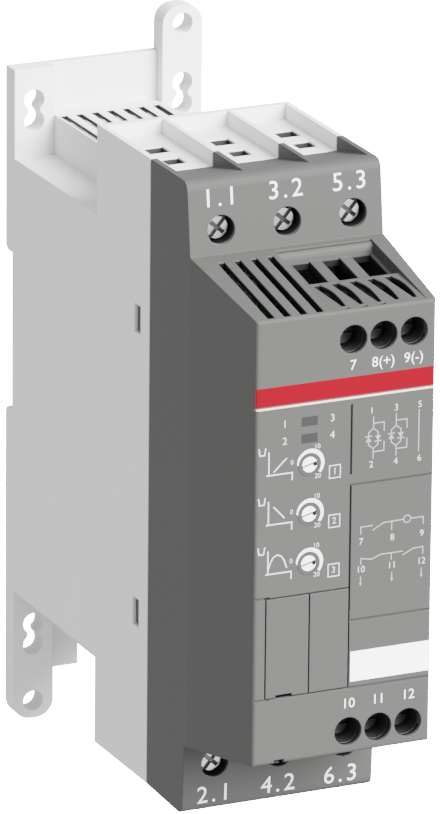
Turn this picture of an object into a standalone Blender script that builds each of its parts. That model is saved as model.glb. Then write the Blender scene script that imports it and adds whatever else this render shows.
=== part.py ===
"""Three phase soft starter for a mounting rail or a panel, modelled in Blender.

Drawing axes: X to the right, Y away from the viewer with the rear plane at 0 and the
front at -DEPTH, Z up from the underside of the housing. Sizes are millimetres and
become metres in the meshes. One empty carries every piece and puts the centre of the
rail seat at the world origin.
"""

import math

import bmesh
import bpy
from mathutils import Matrix, Vector

MM = 0.001

# Overall sizes
WIDTH = 45.0
HEIGHT = 141.2
DEPTH = 127.2
HALF = WIDTH / 2
GAP = 0.3
REACH = 2.0

# Rear housing
COVER_DEPTH = 50.2
SEAM = DEPTH - COVER_DEPTH
SIDE_WALL = 1.4
TERMINAL_DEPTH = 27.7
TERMINAL_BACK = SEAM - TERMINAL_DEPTH
TERMINAL_WALL = 1.9
SHOULDER_DROP = 20.2
SHOULDER_WALL = 1.8
DECK_DROP = 11.2
DECK_WALL = 1.6
REAR_WALL = 5.6
PLATE_THICK = 2.2

# Ears with their screw holes
EAR_WIDTH = 9.6
DECK_INSET = 9.5
DECK_HALF = HALF - DECK_INSET
EAR_THICK = 4.8
EAR_REACH = 10.4
EAR_ROUND = 4.0
EAR_HOLE_INSET = 4.7
EAR_HOLE_X = HALF - EAR_HOLE_INSET
EAR_HOLE_REACH = 6.3
EAR_HOLE_R = 2.35
KEYHOLE_OUTER_DROP = 7.2
KEYHOLE_INNER_DROP = 12.1
KEYHOLE_R = 2.4
KEYHOLE_WAIST = 2.7

# Deck vents
VENT_COUNT = 7
VENT_PITCH = 3.7
VENT_WIDTH = 1.65
VENT_SHIFT = -0.5
VENT_START = 6.2
VENT_END_WALL = 4.3
VENT_END = TERMINAL_BACK - VENT_END_WALL
VENT_WALL = 0.8

# Rail notch, its hook and the latch
RAIL_DROP = 60.2
RAIL_CENTRE = HEIGHT - RAIL_DROP
NOTCH_HEIGHT = 36.4
NOTCH_DEPTH = 3.54
NOTCH_CHAMFER = 1.0
HOOK_UNDERCUT = 1.4
HOOK_SLOT = 1.2
HOOK_CLEAR = 0.3
HOOK_HALF = 12.0
LATCH_HALF = 7.2
LATCH_RIB_HALF = 5.5
LATCH_LIPS = 1.6
LATCH_FLANGE = 1.6
LATCH_LIP = 1.8
LATCH_TRAVEL = 3.0
LATCH_TAB = 6.0
LATCH_WINDOW_HALF = 2.6
LATCH_WINDOW_LOW = 24.0
LATCH_WINDOW_HIGH = 46.0
SPRING_POST = 2.4
SPRING_R = 1.5
SPRING_WIRE_R = 0.3
SPRING_TURN_COUNT = 7
REAR_POCKET = 3.6
REAR_POCKET_MARGIN = 4.0
REAR_POCKET_WALL = 2.5

# Power terminals
POLE_INSET = 7.15
POLE_PITCH = HALF - POLE_INSET
POLE_SHIFT = 0.25
PARTITION = 1.2
POCKET_DROP = 3.3
POCKET_FLOOR = 1.6
CHAMBER_DEPTH = 20.0
WIRE_HOLE_SHIFT = 0.9
REAR_HOLE_BACK = SEAM - 17.6
REAR_HOLE_FRONT = SEAM - 13.0
REAR_HOLE_WIDTH = 4.8
FRONT_HOLE_BACK = SEAM - 8.8
FRONT_HOLE_FRONT = SEAM - 4.3
FRONT_HOLE_WIDTH = 4.4
POWER_SCREW_DROP = 10.95
LOWER_SCREW_SHIFT = -0.65
SCREW_TURN = math.radians(50)
POWER_BORE_R = 3.2
POWER_HEAD_R = 2.9
POWER_HEAD_SINK = 2.1
POWER_HEAD_THICK = 2.4
POWER_SHANK_R = 2.3
BOSS_R = 5.6
BOSS_SHOULDER = 2.0
CLAMP_WIDTH = 10.0
CLAMP_WALL = 1.2
CLAMP_NUT = 1.5
CLAMP_HEIGHT = 10.0
CLAMP_BACK = SEAM - 19.7
BAR_THICK = 1.5
BAR_WIDTH = 7.0
BAR_BACK = SEAM - 3.4
BAR_END_DROP = 7.5

# Front cover
COVER_WALL = 1.8
COVER_SIDE = 1.6
FACE_UPPER_STEP = 29.6
FACE_UPPER = DEPTH - FACE_UPPER_STEP
FACE_UPPER_LEAN = 1.9
FACE_UPPER_TOP = FACE_UPPER - FACE_UPPER_LEAN
FACE_UPPER_DROP = 16.1
FACE_UPPER_Z = HEIGHT - FACE_UPPER_DROP
FACE_LOWER_STEP = 30.6
FACE_LOWER = DEPTH - FACE_LOWER_STEP
FACE_LOWER_LEAN = 0.8
FACE_LOWER_BOTTOM = FACE_LOWER - FACE_LOWER_LEAN
FACE_LOWER_Z = 15.3
COVER_FOOT = 0.8
FRONT_TAPER = 1.75
FRONT_HALF = HALF - FRONT_TAPER
FRONT_TOP_FALL = 5.6
FRONT_TOP = FACE_UPPER_Z - FRONT_TOP_FALL
FRONT_BOTTOM_RISE = 5.6
FRONT_BOTTOM = FACE_LOWER_Z + FRONT_BOTTOM_RISE
FACE_ROUND = 2.2
FRONT_ROUND = 0.8
RAMP_LENGTH = 15.5
RAMP_END = SEAM + RAMP_LENGTH

# Control wire recess in the slanted surfaces, with the slotted plate in front of it
RECESS_LEFT = FRONT_HALF - 24.45
RECESS_RIGHT = FRONT_HALF - 1.95
RECESS_START = DEPTH - 28.1
RECESS_END = DEPTH - 14.2
RECESS_DEPTH = 2.5
RECESS_DEPTH_LOWER = 2.2
RECESS_TRAY_SIDE = 0.9
BAR_GROOVE = 0.4
BAR_GROOVE_DEPTH = 1.3
BAR_ROUND = 1.1
ENTRY_WIDTH = 4.4
ENTRY_START = RECESS_START + BAR_GROOVE + BAR_ROUND
ENTRY_END = RECESS_END - 0.7
PLATE_DROP = 0.9
PLATE_RIM = 0.7
SHELF_THICK = 1.0

# Vent slots: straight ones on the left and fang shaped ones in the plate
SLOT_LEFT_X = 3.75 - FRONT_HALF
SLOT_PITCH = 3.77
SLOT_WIDTH = 1.6
SLOT_LEFT_START = DEPTH - 26.2
SLOT_FRONT_WALL = 0.9
SLOT_LEFT_COUNT = 1 + int((RECESS_LEFT - SLOT_WIDTH / 2 - SLOT_LEFT_X) / SLOT_PITCH)
FANG_X = RECESS_LEFT + 4.45
FANG_PITCH = 4.12
FANG_COUNT = 5
FANG_START = RECESS_END + 0.9
FANG_END = DEPTH - 2.2
FANG_BACK_WIDTH = 2.5
FANG_TIP_WIDTH = 0.9
FANG_TIP_COUNT = 3
FANG_TIP_WALL = 0.8
FANG_BULGES = ((1.0, 0.0), (0.8, 0.25), (0.6, 0.4), (0.4, 0.42), (0.2, 0.1), (0.0, -0.8))

# Control terminals
CONTROL_X = (FRONT_HALF - 19.15, FRONT_HALF - 12.15, FRONT_HALF - 5.1)
CONTROL_UPPER_Z = FRONT_TOP - 6.5
CONTROL_LOWER_Z = FRONT_BOTTOM + 4.8
CONTROL_BORE_R = 3.18
CONTROL_HEAD_R = 2.75
CONTROL_HEAD_SINK = 5.5
CONTROL_HEAD_THICK = 1.8
CONTROL_SHANK_R = 1.45
CONTROL_SHOULDER = 1.2
BLOCK_DEPTH = 20.2
BLOCK_WALL = 1.0
BLOCK_LEFT = CONTROL_X[0] - 4.1
BLOCK_RIGHT = CONTROL_X[2] + 3.3
CHAMBER_HALF = 2.8
BLOCK_INWARD = 5.4
CONTROL_CLAMP_HALF = 2.5
CONTROL_CLAMP_SIDE = 0.6
CONTROL_CLAMP_BACK_WALL = 0.8
CONTROL_CLAMP_NUT = 1.2
CONTROL_CLAMP_HEIGHT = 4.6
CONTROL_CLAMP_LENGTH = 9.2
CONTACT_THICK = 0.8
CONTACT_HALF = 1.6
CONTACT_DROP = 5.0

# Boards and what is on them
BOARD_THICK = 1.6
CONTROL_BOARD_HALF = FRONT_HALF - 1.45
HEAT_SINK_BASE = 4.0
FIN_COUNT = 9
FIN_THICK = 1.7
MODULE_THICK = 11.4
MODULE_SPACING = 6.4
MODULE_HEIGHT = 30.0
RELAY_SPACING = 10.8
RELAY_DEPTH = 17.0
RELAY_HEIGHT = 28.0
BAR_FOOT_DROP = 35.2
BAR_FOOT_LENGTH = 6.0

# Setting knobs and status windows
KNOB_X = 12.6 - FRONT_HALF
KNOB_TOP_Z = FRONT_TOP - 32.8
KNOB_PITCH = 10.95
KNOB_COUNT = 3
KNOB_R = 2.15
KNOB_HOLE_R = 2.7
KNOB_SINK = 0.5
KNOB_SHAFT_R = 1.4
KNOB_SHAFT_LENGTH = 2.0
KNOB_SLOT = 0.7
KNOB_SLOT_DEPTH = 0.9
POT_SIZE = 6.6
POT_DEPTH = 5.4
WINDOW_X = 12.45 - FRONT_HALF
WINDOW_WIDTH = 3.4
WINDOW_HEIGHT = 1.8
WINDOW_Z = (FRONT_TOP - 23.2, FRONT_TOP - 26.95)

# Connector covers
DOOR_LEFT = 2.65 - FRONT_HALF
DOOR_SPLIT = DOOR_LEFT + 10.27
DOOR_RIGHT = DOOR_LEFT + 19.65
DOOR_BOTTOM = FRONT_BOTTOM + 14.6
DOOR_TOP = DOOR_BOTTOM + 22.7
DOOR_THICK = 1.5
DOOR_LEDGE = 1.2
DOOR_LEDGE_THICK = 1.2
DOOR_LEG = 3.2
DOOR_LEG_THICK = 1.0
PRY_PLACE = 4.2
PRY_WIDTH = 3.8
PRY_HEIGHT = 0.5
SOCKET_WIDTH = 7.4
SOCKET_HEIGHT = 15.0
SOCKET_DEPTH = 6.0
SOCKET_WALL = 0.9

# Snap hooks between the cover and the housing
SNAP_DROP = 37.4
SNAP_HEIGHT = 6.3
SNAP_START = 69.4
SNAP_END = 72.5
SNAP_ARM = 1.1
SNAP_ROOT = 5.0

# Panel grooves
GROOVE_WIDTH = 0.45
GROOVE_DEPTH = 0.4
GROOVE_EDGE = 0.3
GROOVE_BREAK = 2.4
PANEL_SPLIT_Z = FRONT_TOP - 38.7
PANEL_LABEL_Z = DOOR_BOTTOM + 15.1
BOTTOM_SLOT_LEFT = 5.05 - FRONT_HALF
BOTTOM_SLOT_WIDTH = 2.4
BOTTOM_SLOT_DEPTH = 0.8

ROUND_COUNT = 24
SMALL_ROUND_COUNT = 16

parts = bpy.data.collections.new("soft_starter")
cutters = bpy.data.collections.new("cutters")
carrier = bpy.data.objects.new("carrier", None)


def clear_scene():
    for obj in list(bpy.data.objects):
        if obj is not carrier:
            bpy.data.objects.remove(obj, do_unlink=True)
    bpy.context.scene.collection.children.link(parts)
    bpy.context.scene.collection.children.link(cutters)
    parts.objects.link(carrier)
    carrier.location = (0, NOTCH_DEPTH * MM, -RAIL_CENTRE * MM)


def material(name, colour, roughness, metallic=0.0):
    found = bpy.data.materials.new(name)
    found.use_nodes = True
    shader = found.node_tree.nodes["Principled BSDF"]
    shader.inputs["Base Color"].default_value = (*colour, 1.0)
    shader.inputs["Roughness"].default_value = roughness
    shader.inputs["Metallic"].default_value = metallic
    return found


LIGHT_GREY = material("light_grey_plastic", (0.72, 0.72, 0.73), 0.5)
DARK_GREY = material("dark_grey_plastic", (0.23, 0.23, 0.225), 0.5)
BLACK = material("black_plastic", (0.03, 0.03, 0.03), 0.45)
WHITE = material("white_plastic", (0.8, 0.8, 0.78), 0.4)
ALUMINIUM = material("aluminium", (0.7, 0.71, 0.72), 0.35, 1.0)
PLATED = material("plated_steel", (0.75, 0.75, 0.74), 0.25, 1.0)
DARK_STEEL = material("dark_steel", (0.09, 0.09, 0.09), 0.4, 1.0)
COPPER = material("tinned_copper", (0.78, 0.72, 0.66), 0.3, 1.0)
BOARD = material("circuit_board", (0.03, 0.16, 0.08), 0.5)
CLEAR = material("smoked_clear_plastic", (0.16, 0.2, 0.18), 0.2)


def add(name, mesh, location=(0, 0, 0), finish=None, cutter=False):
    """An object of this mesh on the carrier, in the parts or among the cutters."""
    obj = bpy.data.objects.new(name, mesh)
    obj.parent = carrier
    obj.location = Vector(location) * MM
    if finish:
        mesh.materials.append(finish)
    (cutters if cutter else parts).objects.link(obj)
    if cutter:
        obj.hide_render = True
        obj.display_type = "WIRE"
    return obj


def boxes(name, spans, location=(0, 0, 0), finish=None, cutter=False):
    """One mesh of separate boxes, each given as its low and high corner."""
    shape = bmesh.new()
    for low, high in spans:
        low = Vector(low)
        high = Vector(high)
        size = Matrix.Diagonal((*((high - low) * MM), 1))
        bmesh.ops.create_cube(shape, size=1, matrix=Matrix.Translation((low + high) / 2 * MM) @ size)
    mesh = bpy.data.meshes.new(name)
    shape.to_mesh(mesh)
    shape.free()
    return add(name, mesh, location, finish, cutter)


def rods(name, spans, sides=ROUND_COUNT, location=(0, 0, 0), finish=None, cutter=False):
    """One mesh of separate rods along Y, each given as x, z, radius, low y and high y."""
    shape = bmesh.new()
    for x, z, radius, low, high in spans:
        turn = Matrix.Rotation(math.pi / 2, 4, "X")
        centre = Matrix.Translation(Vector((x, (low + high) / 2, z)) * MM)
        bmesh.ops.create_cone(
            shape,
            cap_ends=True,
            segments=sides,
            radius1=radius * MM,
            radius2=radius * MM,
            depth=(high - low) * MM,
            matrix=centre @ turn,
        )
    mesh = bpy.data.meshes.new(name)
    shape.to_mesh(mesh)
    shape.free()
    return add(name, mesh, location, finish, cutter)


AXES = {
    "X": Matrix(((0, 0, 1), (1, 0, 0), (0, 1, 0))).to_4x4(),
    "Y": Matrix(((1, 0, 0), (0, 0, -1), (0, 1, 0))).to_4x4(),
    "Z": Matrix.Identity(4),
}


def prism(name, outlines, axis, low, high, finish=None, cutter=False):
    """Flat outlines swept along an axis from low to high, as one welded mesh.

    Outline points are (y, z) for a sweep along X, (x, z) along Y and (x, y) along Z.
    """
    curve = bpy.data.curves.new(name, "CURVE")
    curve.dimensions = "2D"
    curve.fill_mode = "BOTH"
    curve.extrude = (high - low) / 2 * MM
    for outline in outlines:
        spline = curve.splines.new("POLY")
        spline.points.add(len(outline) - 1)
        for point, (u, v) in zip(spline.points, outline):
            point.co = (u * MM, v * MM, 0, 1)
        spline.use_cyclic_u = True
    guide = bpy.data.objects.new(name, curve)
    parts.objects.link(guide)
    mesh = bpy.data.meshes.new_from_object(guide.evaluated_get(bpy.context.evaluated_depsgraph_get()))
    bpy.data.objects.remove(guide)
    middle = (low + high) / 2 * MM
    shift = {"X": (middle, 0, 0), "Y": (0, middle, 0), "Z": (0, 0, middle)}[axis]
    shape = bmesh.new()
    shape.from_mesh(mesh)
    bmesh.ops.remove_doubles(shape, verts=shape.verts, dist=1e-7)
    bmesh.ops.transform(shape, matrix=Matrix.Translation(shift) @ AXES[axis], verts=shape.verts)
    bmesh.ops.recalc_face_normals(shape, faces=shape.faces)
    shape.to_mesh(mesh)
    shape.free()
    mesh.materials.clear()
    return add(name, mesh, (0, 0, 0), finish, cutter)


def combine(target, other, operation):
    change = target.modifiers.new(other.name, "BOOLEAN")
    change.operation = operation
    change.object = other
    change.solver = "EXACT"


def cut(target, *others):
    for other in others:
        combine(target, other, "DIFFERENCE")


def join(target, *others):
    for other in others:
        combine(target, other, "UNION")


def smooth(obj, degrees=30):
    obj.data.shade_smooth()
    obj.data.set_sharp_from_angle(angle=math.radians(degrees))


def rounded(points, steps=5):
    """An outline whose corners, given as (u, v, radius), are arcs."""
    outline = []
    count = len(points)
    for i, (u, v, radius) in enumerate(points):
        corner = Vector((u, v))
        if radius <= 0:
            outline.append((u, v))
            continue
        before = (Vector(points[i - 1][:2]) - corner).normalized()
        after = (Vector(points[(i + 1) % count][:2]) - corner).normalized()
        half = before.angle(after) / 2
        centre = corner + (before + after).normalized() * radius / math.sin(half)
        first = corner + before * radius / math.tan(half) - centre
        last = corner + after * radius / math.tan(half) - centre
        sweep = first.angle_signed(last)
        for step in range(steps + 1):
            turned = Matrix.Rotation(-sweep * step / steps, 2) @ first
            outline.append(tuple(centre + turned))
    return outline


def inset(points, walls):
    """The outline moved inwards, edge i (from point i to the next) by walls[i]."""
    count = len(points)
    area = sum(
        points[i][0] * points[(i + 1) % count][1] - points[(i + 1) % count][0] * points[i][1]
        for i in range(count)
    )
    side = 1 if area > 0 else -1
    edges = []
    for i, wall in enumerate(walls):
        start = Vector(points[i])
        along = (Vector(points[(i + 1) % count]) - start).normalized()
        inward = Vector((-along.y, along.x)) * side
        edges.append((start + inward * wall, along))
    moved = []
    for i in range(count):
        (p, a), (q, b) = edges[i - 1], edges[i]
        reach = (q - p).cross(b) / a.cross(b)
        moved.append(tuple(p + a * reach))
    return moved


def pole_x(pole):
    return POLE_SHIFT + (pole - 2) * POLE_PITCH


def pole_spans():
    """The clear width of each pole's pocket, between the side walls and partitions."""
    first = (pole_x(1) + pole_x(2)) / 2
    second = (pole_x(2) + pole_x(3)) / 2
    inner = HALF - SIDE_WALL
    half = PARTITION / 2
    return (-inner, first - half), (first + half, second - half), (second + half, inner)


def at_end(upper, drop):
    """The height that lies this far inside the top or the bottom of the housing."""
    return HEIGHT - drop if upper else drop


def span_at_end(upper, outer, inner):
    """Low and high height of a stretch between two drops from one end."""
    return sorted((at_end(upper, outer), at_end(upper, inner)))


def screw_z(upper):
    return at_end(upper, POWER_SCREW_DROP) + (0 if upper else LOWER_SCREW_SHIFT)


def face_y(upper, z):
    """Y of the terminal face at this height."""
    if upper:
        share = (z - FACE_UPPER_Z) / (HEIGHT - FACE_UPPER_Z)
        return -FACE_UPPER + share * (FACE_UPPER - FACE_UPPER_TOP)
    share = (FACE_LOWER_Z - z) / (FACE_LOWER_Z + COVER_FOOT)
    return -FACE_LOWER + share * (FACE_LOWER - FACE_LOWER_BOTTOM)


def slant_z(upper, y):
    """Height of the slanted surface above or below the front module at this y."""
    if upper:
        share = (-y - FACE_UPPER) / (DEPTH - FACE_UPPER)
        return FACE_UPPER_Z + share * (FRONT_TOP - FACE_UPPER_Z)
    share = (-y - FACE_LOWER) / (DEPTH - FACE_LOWER)
    return FACE_LOWER_Z + share * (FRONT_BOTTOM - FACE_LOWER_Z)


def keyhole(x, first, second):
    """Outline of two round lobes at these heights, joined by a narrow waist."""
    low, high = sorted((first, second))
    lean = math.asin(KEYHOLE_WAIST / 2 / KEYHOLE_R)
    sweep = 2 * math.pi - 2 * lean
    steps = 10
    outline = []
    for centre, start in ((low, math.pi / 2 + lean), (high, -math.pi / 2 + lean)):
        for step in range(steps + 1):
            angle = start + sweep * step / steps
            outline.append((x + KEYHOLE_R * math.cos(angle), centre + KEYHOLE_R * math.sin(angle)))
    return outline


NOTCH_LOW = RAIL_CENTRE - NOTCH_HEIGHT / 2
NOTCH_HIGH = RAIL_CENTRE + NOTCH_HEIGHT / 2
FLANGE_BACK = LATCH_LIPS + GAP
FLANGE_FRONT = FLANGE_BACK + LATCH_FLANGE
CHANNEL_DEPTH = FLANGE_FRONT + GAP
HOUSING_HALF_INSIDE = HALF - SIDE_WALL
SINK_FRONT = TERMINAL_BACK - 1.0
MODULE_BACK = SINK_FRONT + GAP
POWER_BOARD_BACK = MODULE_BACK + MODULE_THICK + GAP
POWER_BOARD_FRONT = POWER_BOARD_BACK + BOARD_THICK
CLAMP_FRONT = BAR_BACK + BAR_THICK + GAP + CLAMP_NUT
COVER_BACK = SEAM + GAP
BLOCK_FRONT = DEPTH - COVER_WALL - GAP
BLOCK_BACK = BLOCK_FRONT - BLOCK_DEPTH
CONTROL_HEAD_FRONT = DEPTH - CONTROL_HEAD_SINK
CONTROL_HEAD_BACK = CONTROL_HEAD_FRONT - CONTROL_HEAD_THICK
CONTROL_SEAT = CONTROL_HEAD_BACK - GAP
CONTROL_CLAMP_BACK = BLOCK_BACK + BLOCK_WALL + GAP
CONTROL_CLAMP_FRONT = CONTROL_CLAMP_BACK + CONTROL_CLAMP_LENGTH
CONTACT_FRONT = CONTROL_CLAMP_FRONT - CONTROL_CLAMP_NUT - 1.0
CONTROL_BOARD_BACK = CONTACT_FRONT + GAP
CONTROL_BOARD_FRONT = CONTROL_BOARD_BACK + BOARD_THICK
POT_BACK = CONTROL_BOARD_FRONT + GAP
POT_FRONT = POT_BACK + POT_DEPTH
MODULE_WIDTH = HOUSING_HALF_INSIDE - GAP - MODULE_SPACING / 2
RELAY_WIDTH = HALF - COVER_SIDE - GAP - RELAY_SPACING / 2
BAR_FOOT_Z = HEIGHT - BAR_FOOT_DROP


def ear_outline(right):
    """The thick strip down one side of the rear plate, which ends in a rounded ear."""
    ear = HALF - EAR_WIDTH
    if right:
        corners = [
            (ear, 0, 0),
            (HALF, 0, 0),
            (HALF, HEIGHT + EAR_REACH, EAR_ROUND),
            (ear, HEIGHT + EAR_REACH, EAR_ROUND),
        ]
    else:
        corners = [
            (-HALF, -EAR_REACH, EAR_ROUND),
            (-ear, -EAR_REACH, EAR_ROUND),
            (-ear, HEIGHT, 0),
            (-HALF, HEIGHT, 0),
        ]
    return rounded(corners)


def make_rear_housing():
    shoulder_low, shoulder_high = SHOULDER_DROP, HEIGHT - SHOULDER_DROP
    side = [
        (0, shoulder_low),
        (-TERMINAL_BACK, shoulder_low),
        (-TERMINAL_BACK, 0),
        (-SEAM, 0),
        (-SEAM, HEIGHT),
        (-TERMINAL_BACK, HEIGHT),
        (-TERMINAL_BACK, shoulder_high),
        (0, shoulder_high),
    ]
    housing = prism("rear_housing", [side], "X", -HALF, HALF, LIGHT_GREY)
    deck = ((-DECK_HALF, -TERMINAL_BACK - 1, DECK_DROP), (DECK_HALF, -PLATE_THICK / 2, HEIGHT - DECK_DROP))
    plate_half = HALF - EAR_WIDTH / 2
    plate = ((-plate_half, -PLATE_THICK, 0), (plate_half, 0, HEIGHT))
    join(
        housing,
        boxes("deck_block", [deck], cutter=True),
        boxes("rear_plate", [plate], cutter=True),
        prism("ear_left", [ear_outline(False)], "Y", -EAR_THICK, 0, cutter=True),
        prism("ear_right", [ear_outline(True)], "Y", -EAR_THICK, 0, cutter=True),
    )
    cut_housing_hollows(housing)
    cut_housing_rear(housing)
    cut_housing_pockets(housing)


def cut_housing_hollows(housing):
    inside = HOUSING_HALF_INSIDE
    low, high = SHOULDER_DROP + SHOULDER_WALL, HEIGHT - SHOULDER_DROP - SHOULDER_WALL
    middle = ((-inside, -SEAM - REACH, low), (inside, -REAR_WALL, high))
    deck_back = TERMINAL_BACK - DECK_WALL
    deck_low, deck_high = DECK_DROP + DECK_WALL, HEIGHT - DECK_DROP - DECK_WALL
    deck_inside = DECK_HALF - DECK_WALL
    deck = ((-deck_inside, -deck_back, deck_low), (deck_inside, -REAR_WALL, deck_high))
    cut(housing, boxes("middle_hollow", [middle], cutter=True), boxes("deck_hollow", [deck], cutter=True))
    chambers = []
    for upper in (True, False):
        low, high = span_at_end(upper, POCKET_DROP + POCKET_FLOOR, SHOULDER_DROP + SHOULDER_WALL + REACH)
        for left, right in pole_spans():
            chambers.append(((left, -SEAM - REACH, low), (right, -TERMINAL_BACK - TERMINAL_WALL, high)))
    cut(housing, boxes("terminal_chambers", chambers, cutter=True))


def cut_housing_rear(housing):
    """The rail notch with its hook, the latch channel, the holes in the ears and the light pockets."""
    notch = [
        (REACH, NOTCH_LOW - NOTCH_CHAMFER - REACH),
        (0, NOTCH_LOW - NOTCH_CHAMFER),
        (-NOTCH_CHAMFER, NOTCH_LOW),
        (-NOTCH_DEPTH, NOTCH_LOW),
        (-NOTCH_DEPTH, NOTCH_HIGH),
        (-NOTCH_CHAMFER, NOTCH_HIGH),
        (0, NOTCH_HIGH + NOTCH_CHAMFER),
        (REACH, NOTCH_HIGH + NOTCH_CHAMFER + REACH),
    ]
    hook_low, hook_high = NOTCH_HIGH - HOOK_CLEAR, NOTCH_HIGH + HOOK_UNDERCUT
    hook_floor = -NOTCH_DEPTH - HOOK_CLEAR
    hook = ((-HOOK_HALF, hook_floor, hook_low), (HOOK_HALF, -NOTCH_DEPTH + HOOK_SLOT, hook_high))
    flange_half = LATCH_HALF + GAP
    rib_half = LATCH_RIB_HALF + GAP
    channel_top = NOTCH_LOW + 0.5
    channel = [((-flange_half, -CHANNEL_DEPTH, DECK_DROP - REACH), (flange_half, -LATCH_LIPS, channel_top))]
    mouth = [((-rib_half, -LATCH_LIPS - 0.5, DECK_DROP - 1), (rib_half, REACH, channel_top))]
    gateway = [((-rib_half, -PLATE_THICK - REACH, -REACH), (rib_half, REACH, DECK_DROP))]
    cut(
        housing,
        prism("rail_notch", [notch], "X", -HALF - REACH, HALF + REACH, cutter=True),
        boxes("rail_hook_undercut", [hook], cutter=True),
        boxes("latch_channel", channel, cutter=True),
        boxes("latch_mouth", mouth, cutter=True),
        boxes("latch_gateway", gateway, cutter=True),
    )
    post_low = LATCH_WINDOW_LOW + LATCH_TRAVEL + 1.0
    post_half = LATCH_WINDOW_HALF - 2 * GAP
    post = ((-post_half, -CHANNEL_DEPTH - 1, post_low), (post_half, -2 * GAP, post_low + SPRING_POST))
    join(housing, boxes("spring_post", [post], cutter=True))
    keyholes = []
    for upper in (True, False):
        for side in (-1, 1):
            first, second = at_end(upper, KEYHOLE_OUTER_DROP), at_end(upper, KEYHOLE_INNER_DROP)
            keyholes.append(keyhole(side * EAR_HOLE_X, first, second))
    cut(housing, prism("keyholes", keyholes, "Y", -EAR_THICK - REACH, REACH, cutter=True))
    holes = [
        (-EAR_HOLE_X, -EAR_HOLE_REACH, EAR_HOLE_R, -EAR_THICK - REACH, REACH),
        (EAR_HOLE_X, HEIGHT + EAR_HOLE_REACH, EAR_HOLE_R, -EAR_THICK - REACH, REACH),
    ]
    cut(housing, rods("ear_holes", holes, SMALL_ROUND_COUNT, cutter=True))
    pockets = []
    margin = REAR_POCKET_MARGIN
    edge_low, edge_high = SHOULDER_DROP + margin, HEIGHT - SHOULDER_DROP - margin
    outer, inner = HALF - REAR_POCKET_WALL, flange_half + REAR_POCKET_WALL
    for low, high in ((edge_low, NOTCH_LOW - margin), (NOTCH_HIGH + margin, edge_high)):
        for left, right in ((-outer, -inner), (inner, outer)):
            pockets.append(((left, -REAR_POCKET, low), (right, REACH, high)))
    cut(housing, boxes("rear_pockets", pockets, cutter=True))


def cut_housing_pockets(housing):
    """Wire pockets, wire holes, deck vents and the windows for the snap hooks."""
    pockets, holes, vents, windows, thinned = [], [], [], [], []
    for upper in (True, False):
        low, high = span_at_end(upper, -REACH, POCKET_DROP)
        for left, right in pole_spans():
            pockets.append(((left, -SEAM - REACH, low), (right, -TERMINAL_BACK - TERMINAL_WALL, high)))
        low, high = span_at_end(upper, POCKET_DROP - 1, POCKET_DROP + POCKET_FLOOR + 1)
        for pole in (1, 2, 3):
            for back, front, width in (
                (REAR_HOLE_BACK, REAR_HOLE_FRONT, REAR_HOLE_WIDTH),
                (FRONT_HOLE_BACK, FRONT_HOLE_FRONT, FRONT_HOLE_WIDTH),
            ):
                centre = pole_x(pole) + WIRE_HOLE_SHIFT
                holes.append(((centre - width / 2, -front, low), (centre + width / 2, -back, high)))
        low, high = span_at_end(upper, DECK_DROP - 1, DECK_DROP + DECK_WALL + 1)
        for vent in range(VENT_COUNT):
            centre = VENT_SHIFT + (vent - (VENT_COUNT - 1) / 2) * VENT_PITCH
            left, right = centre - VENT_WIDTH / 2, centre + VENT_WIDTH / 2
            vents.append(((left, -VENT_END, low), (right, -VENT_START, high)))
        low, high = span_at_end(upper, DECK_DROP + VENT_WALL, DECK_DROP + DECK_WALL + 1)
        half = DECK_HALF - DECK_WALL - 0.4
        thinned.append(((-half, -VENT_END - 0.5, low), (half, -REAR_WALL - GAP, high)))
        middle = at_end(upper, SNAP_DROP)
        for side in (-1, 1):
            left, right = sorted((side * (HALF + 1), side * (HALF - SIDE_WALL - 1)))
            low, high = middle - SNAP_HEIGHT / 2, middle + SNAP_HEIGHT / 2
            windows.append(((left, -SNAP_END, low), (right, -SNAP_START, high)))
    cut(
        housing,
        boxes("wire_pockets", pockets, cutter=True),
        boxes("wire_holes", holes, cutter=True),
        boxes("thin_deck", thinned, cutter=True),
        boxes("deck_vents", vents, cutter=True),
        boxes("snap_windows", windows, cutter=True),
    )


def cover_profile():
    """Side view of the front cover, as (y, z) points from the lower back corner round."""
    return [
        (-COVER_BACK, 0),
        (-COVER_BACK, HEIGHT),
        (-FACE_UPPER_TOP, HEIGHT),
        (-FACE_UPPER, FACE_UPPER_Z),
        (-DEPTH, FRONT_TOP),
        (-DEPTH, FRONT_BOTTOM),
        (-FACE_LOWER, FACE_LOWER_Z),
        (-FACE_LOWER_BOTTOM, -COVER_FOOT),
    ]


def cover_plan():
    """Top view of the front cover, as (x, y) points: the front module tapers."""
    return [
        (-HALF, -COVER_BACK),
        (-HALF, -FACE_UPPER),
        (-FRONT_HALF, -DEPTH),
        (FRONT_HALF, -DEPTH),
        (HALF, -FACE_UPPER),
        (HALF, -COVER_BACK),
    ]


def make_front_cover():
    radii = (0, 0, FACE_ROUND, 0, FRONT_ROUND, FRONT_ROUND, 0, FACE_ROUND)
    side = rounded([(*point, radius) for point, radius in zip(cover_profile(), radii)], 4)
    cover = prism("front_cover", [side], "X", -HALF - REACH, HALF + REACH, DARK_GREY)
    radii = (0, 0, FRONT_ROUND, FRONT_ROUND, 0, 0)
    plan = rounded([(*point, radius) for point, radius in zip(cover_plan(), radii)], 3)
    combine(cover, prism("cover_plan", [plan], "Z", -REACH, HEIGHT + REACH, cutter=True), "INTERSECT")
    hollow_cover(cover)
    add_terminal_towers(cover)
    add_snap_hooks(cover)
    cut_front_openings(cover)
    cut_panel_grooves(cover)
    cut_slanted_surfaces(cover)


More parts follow.
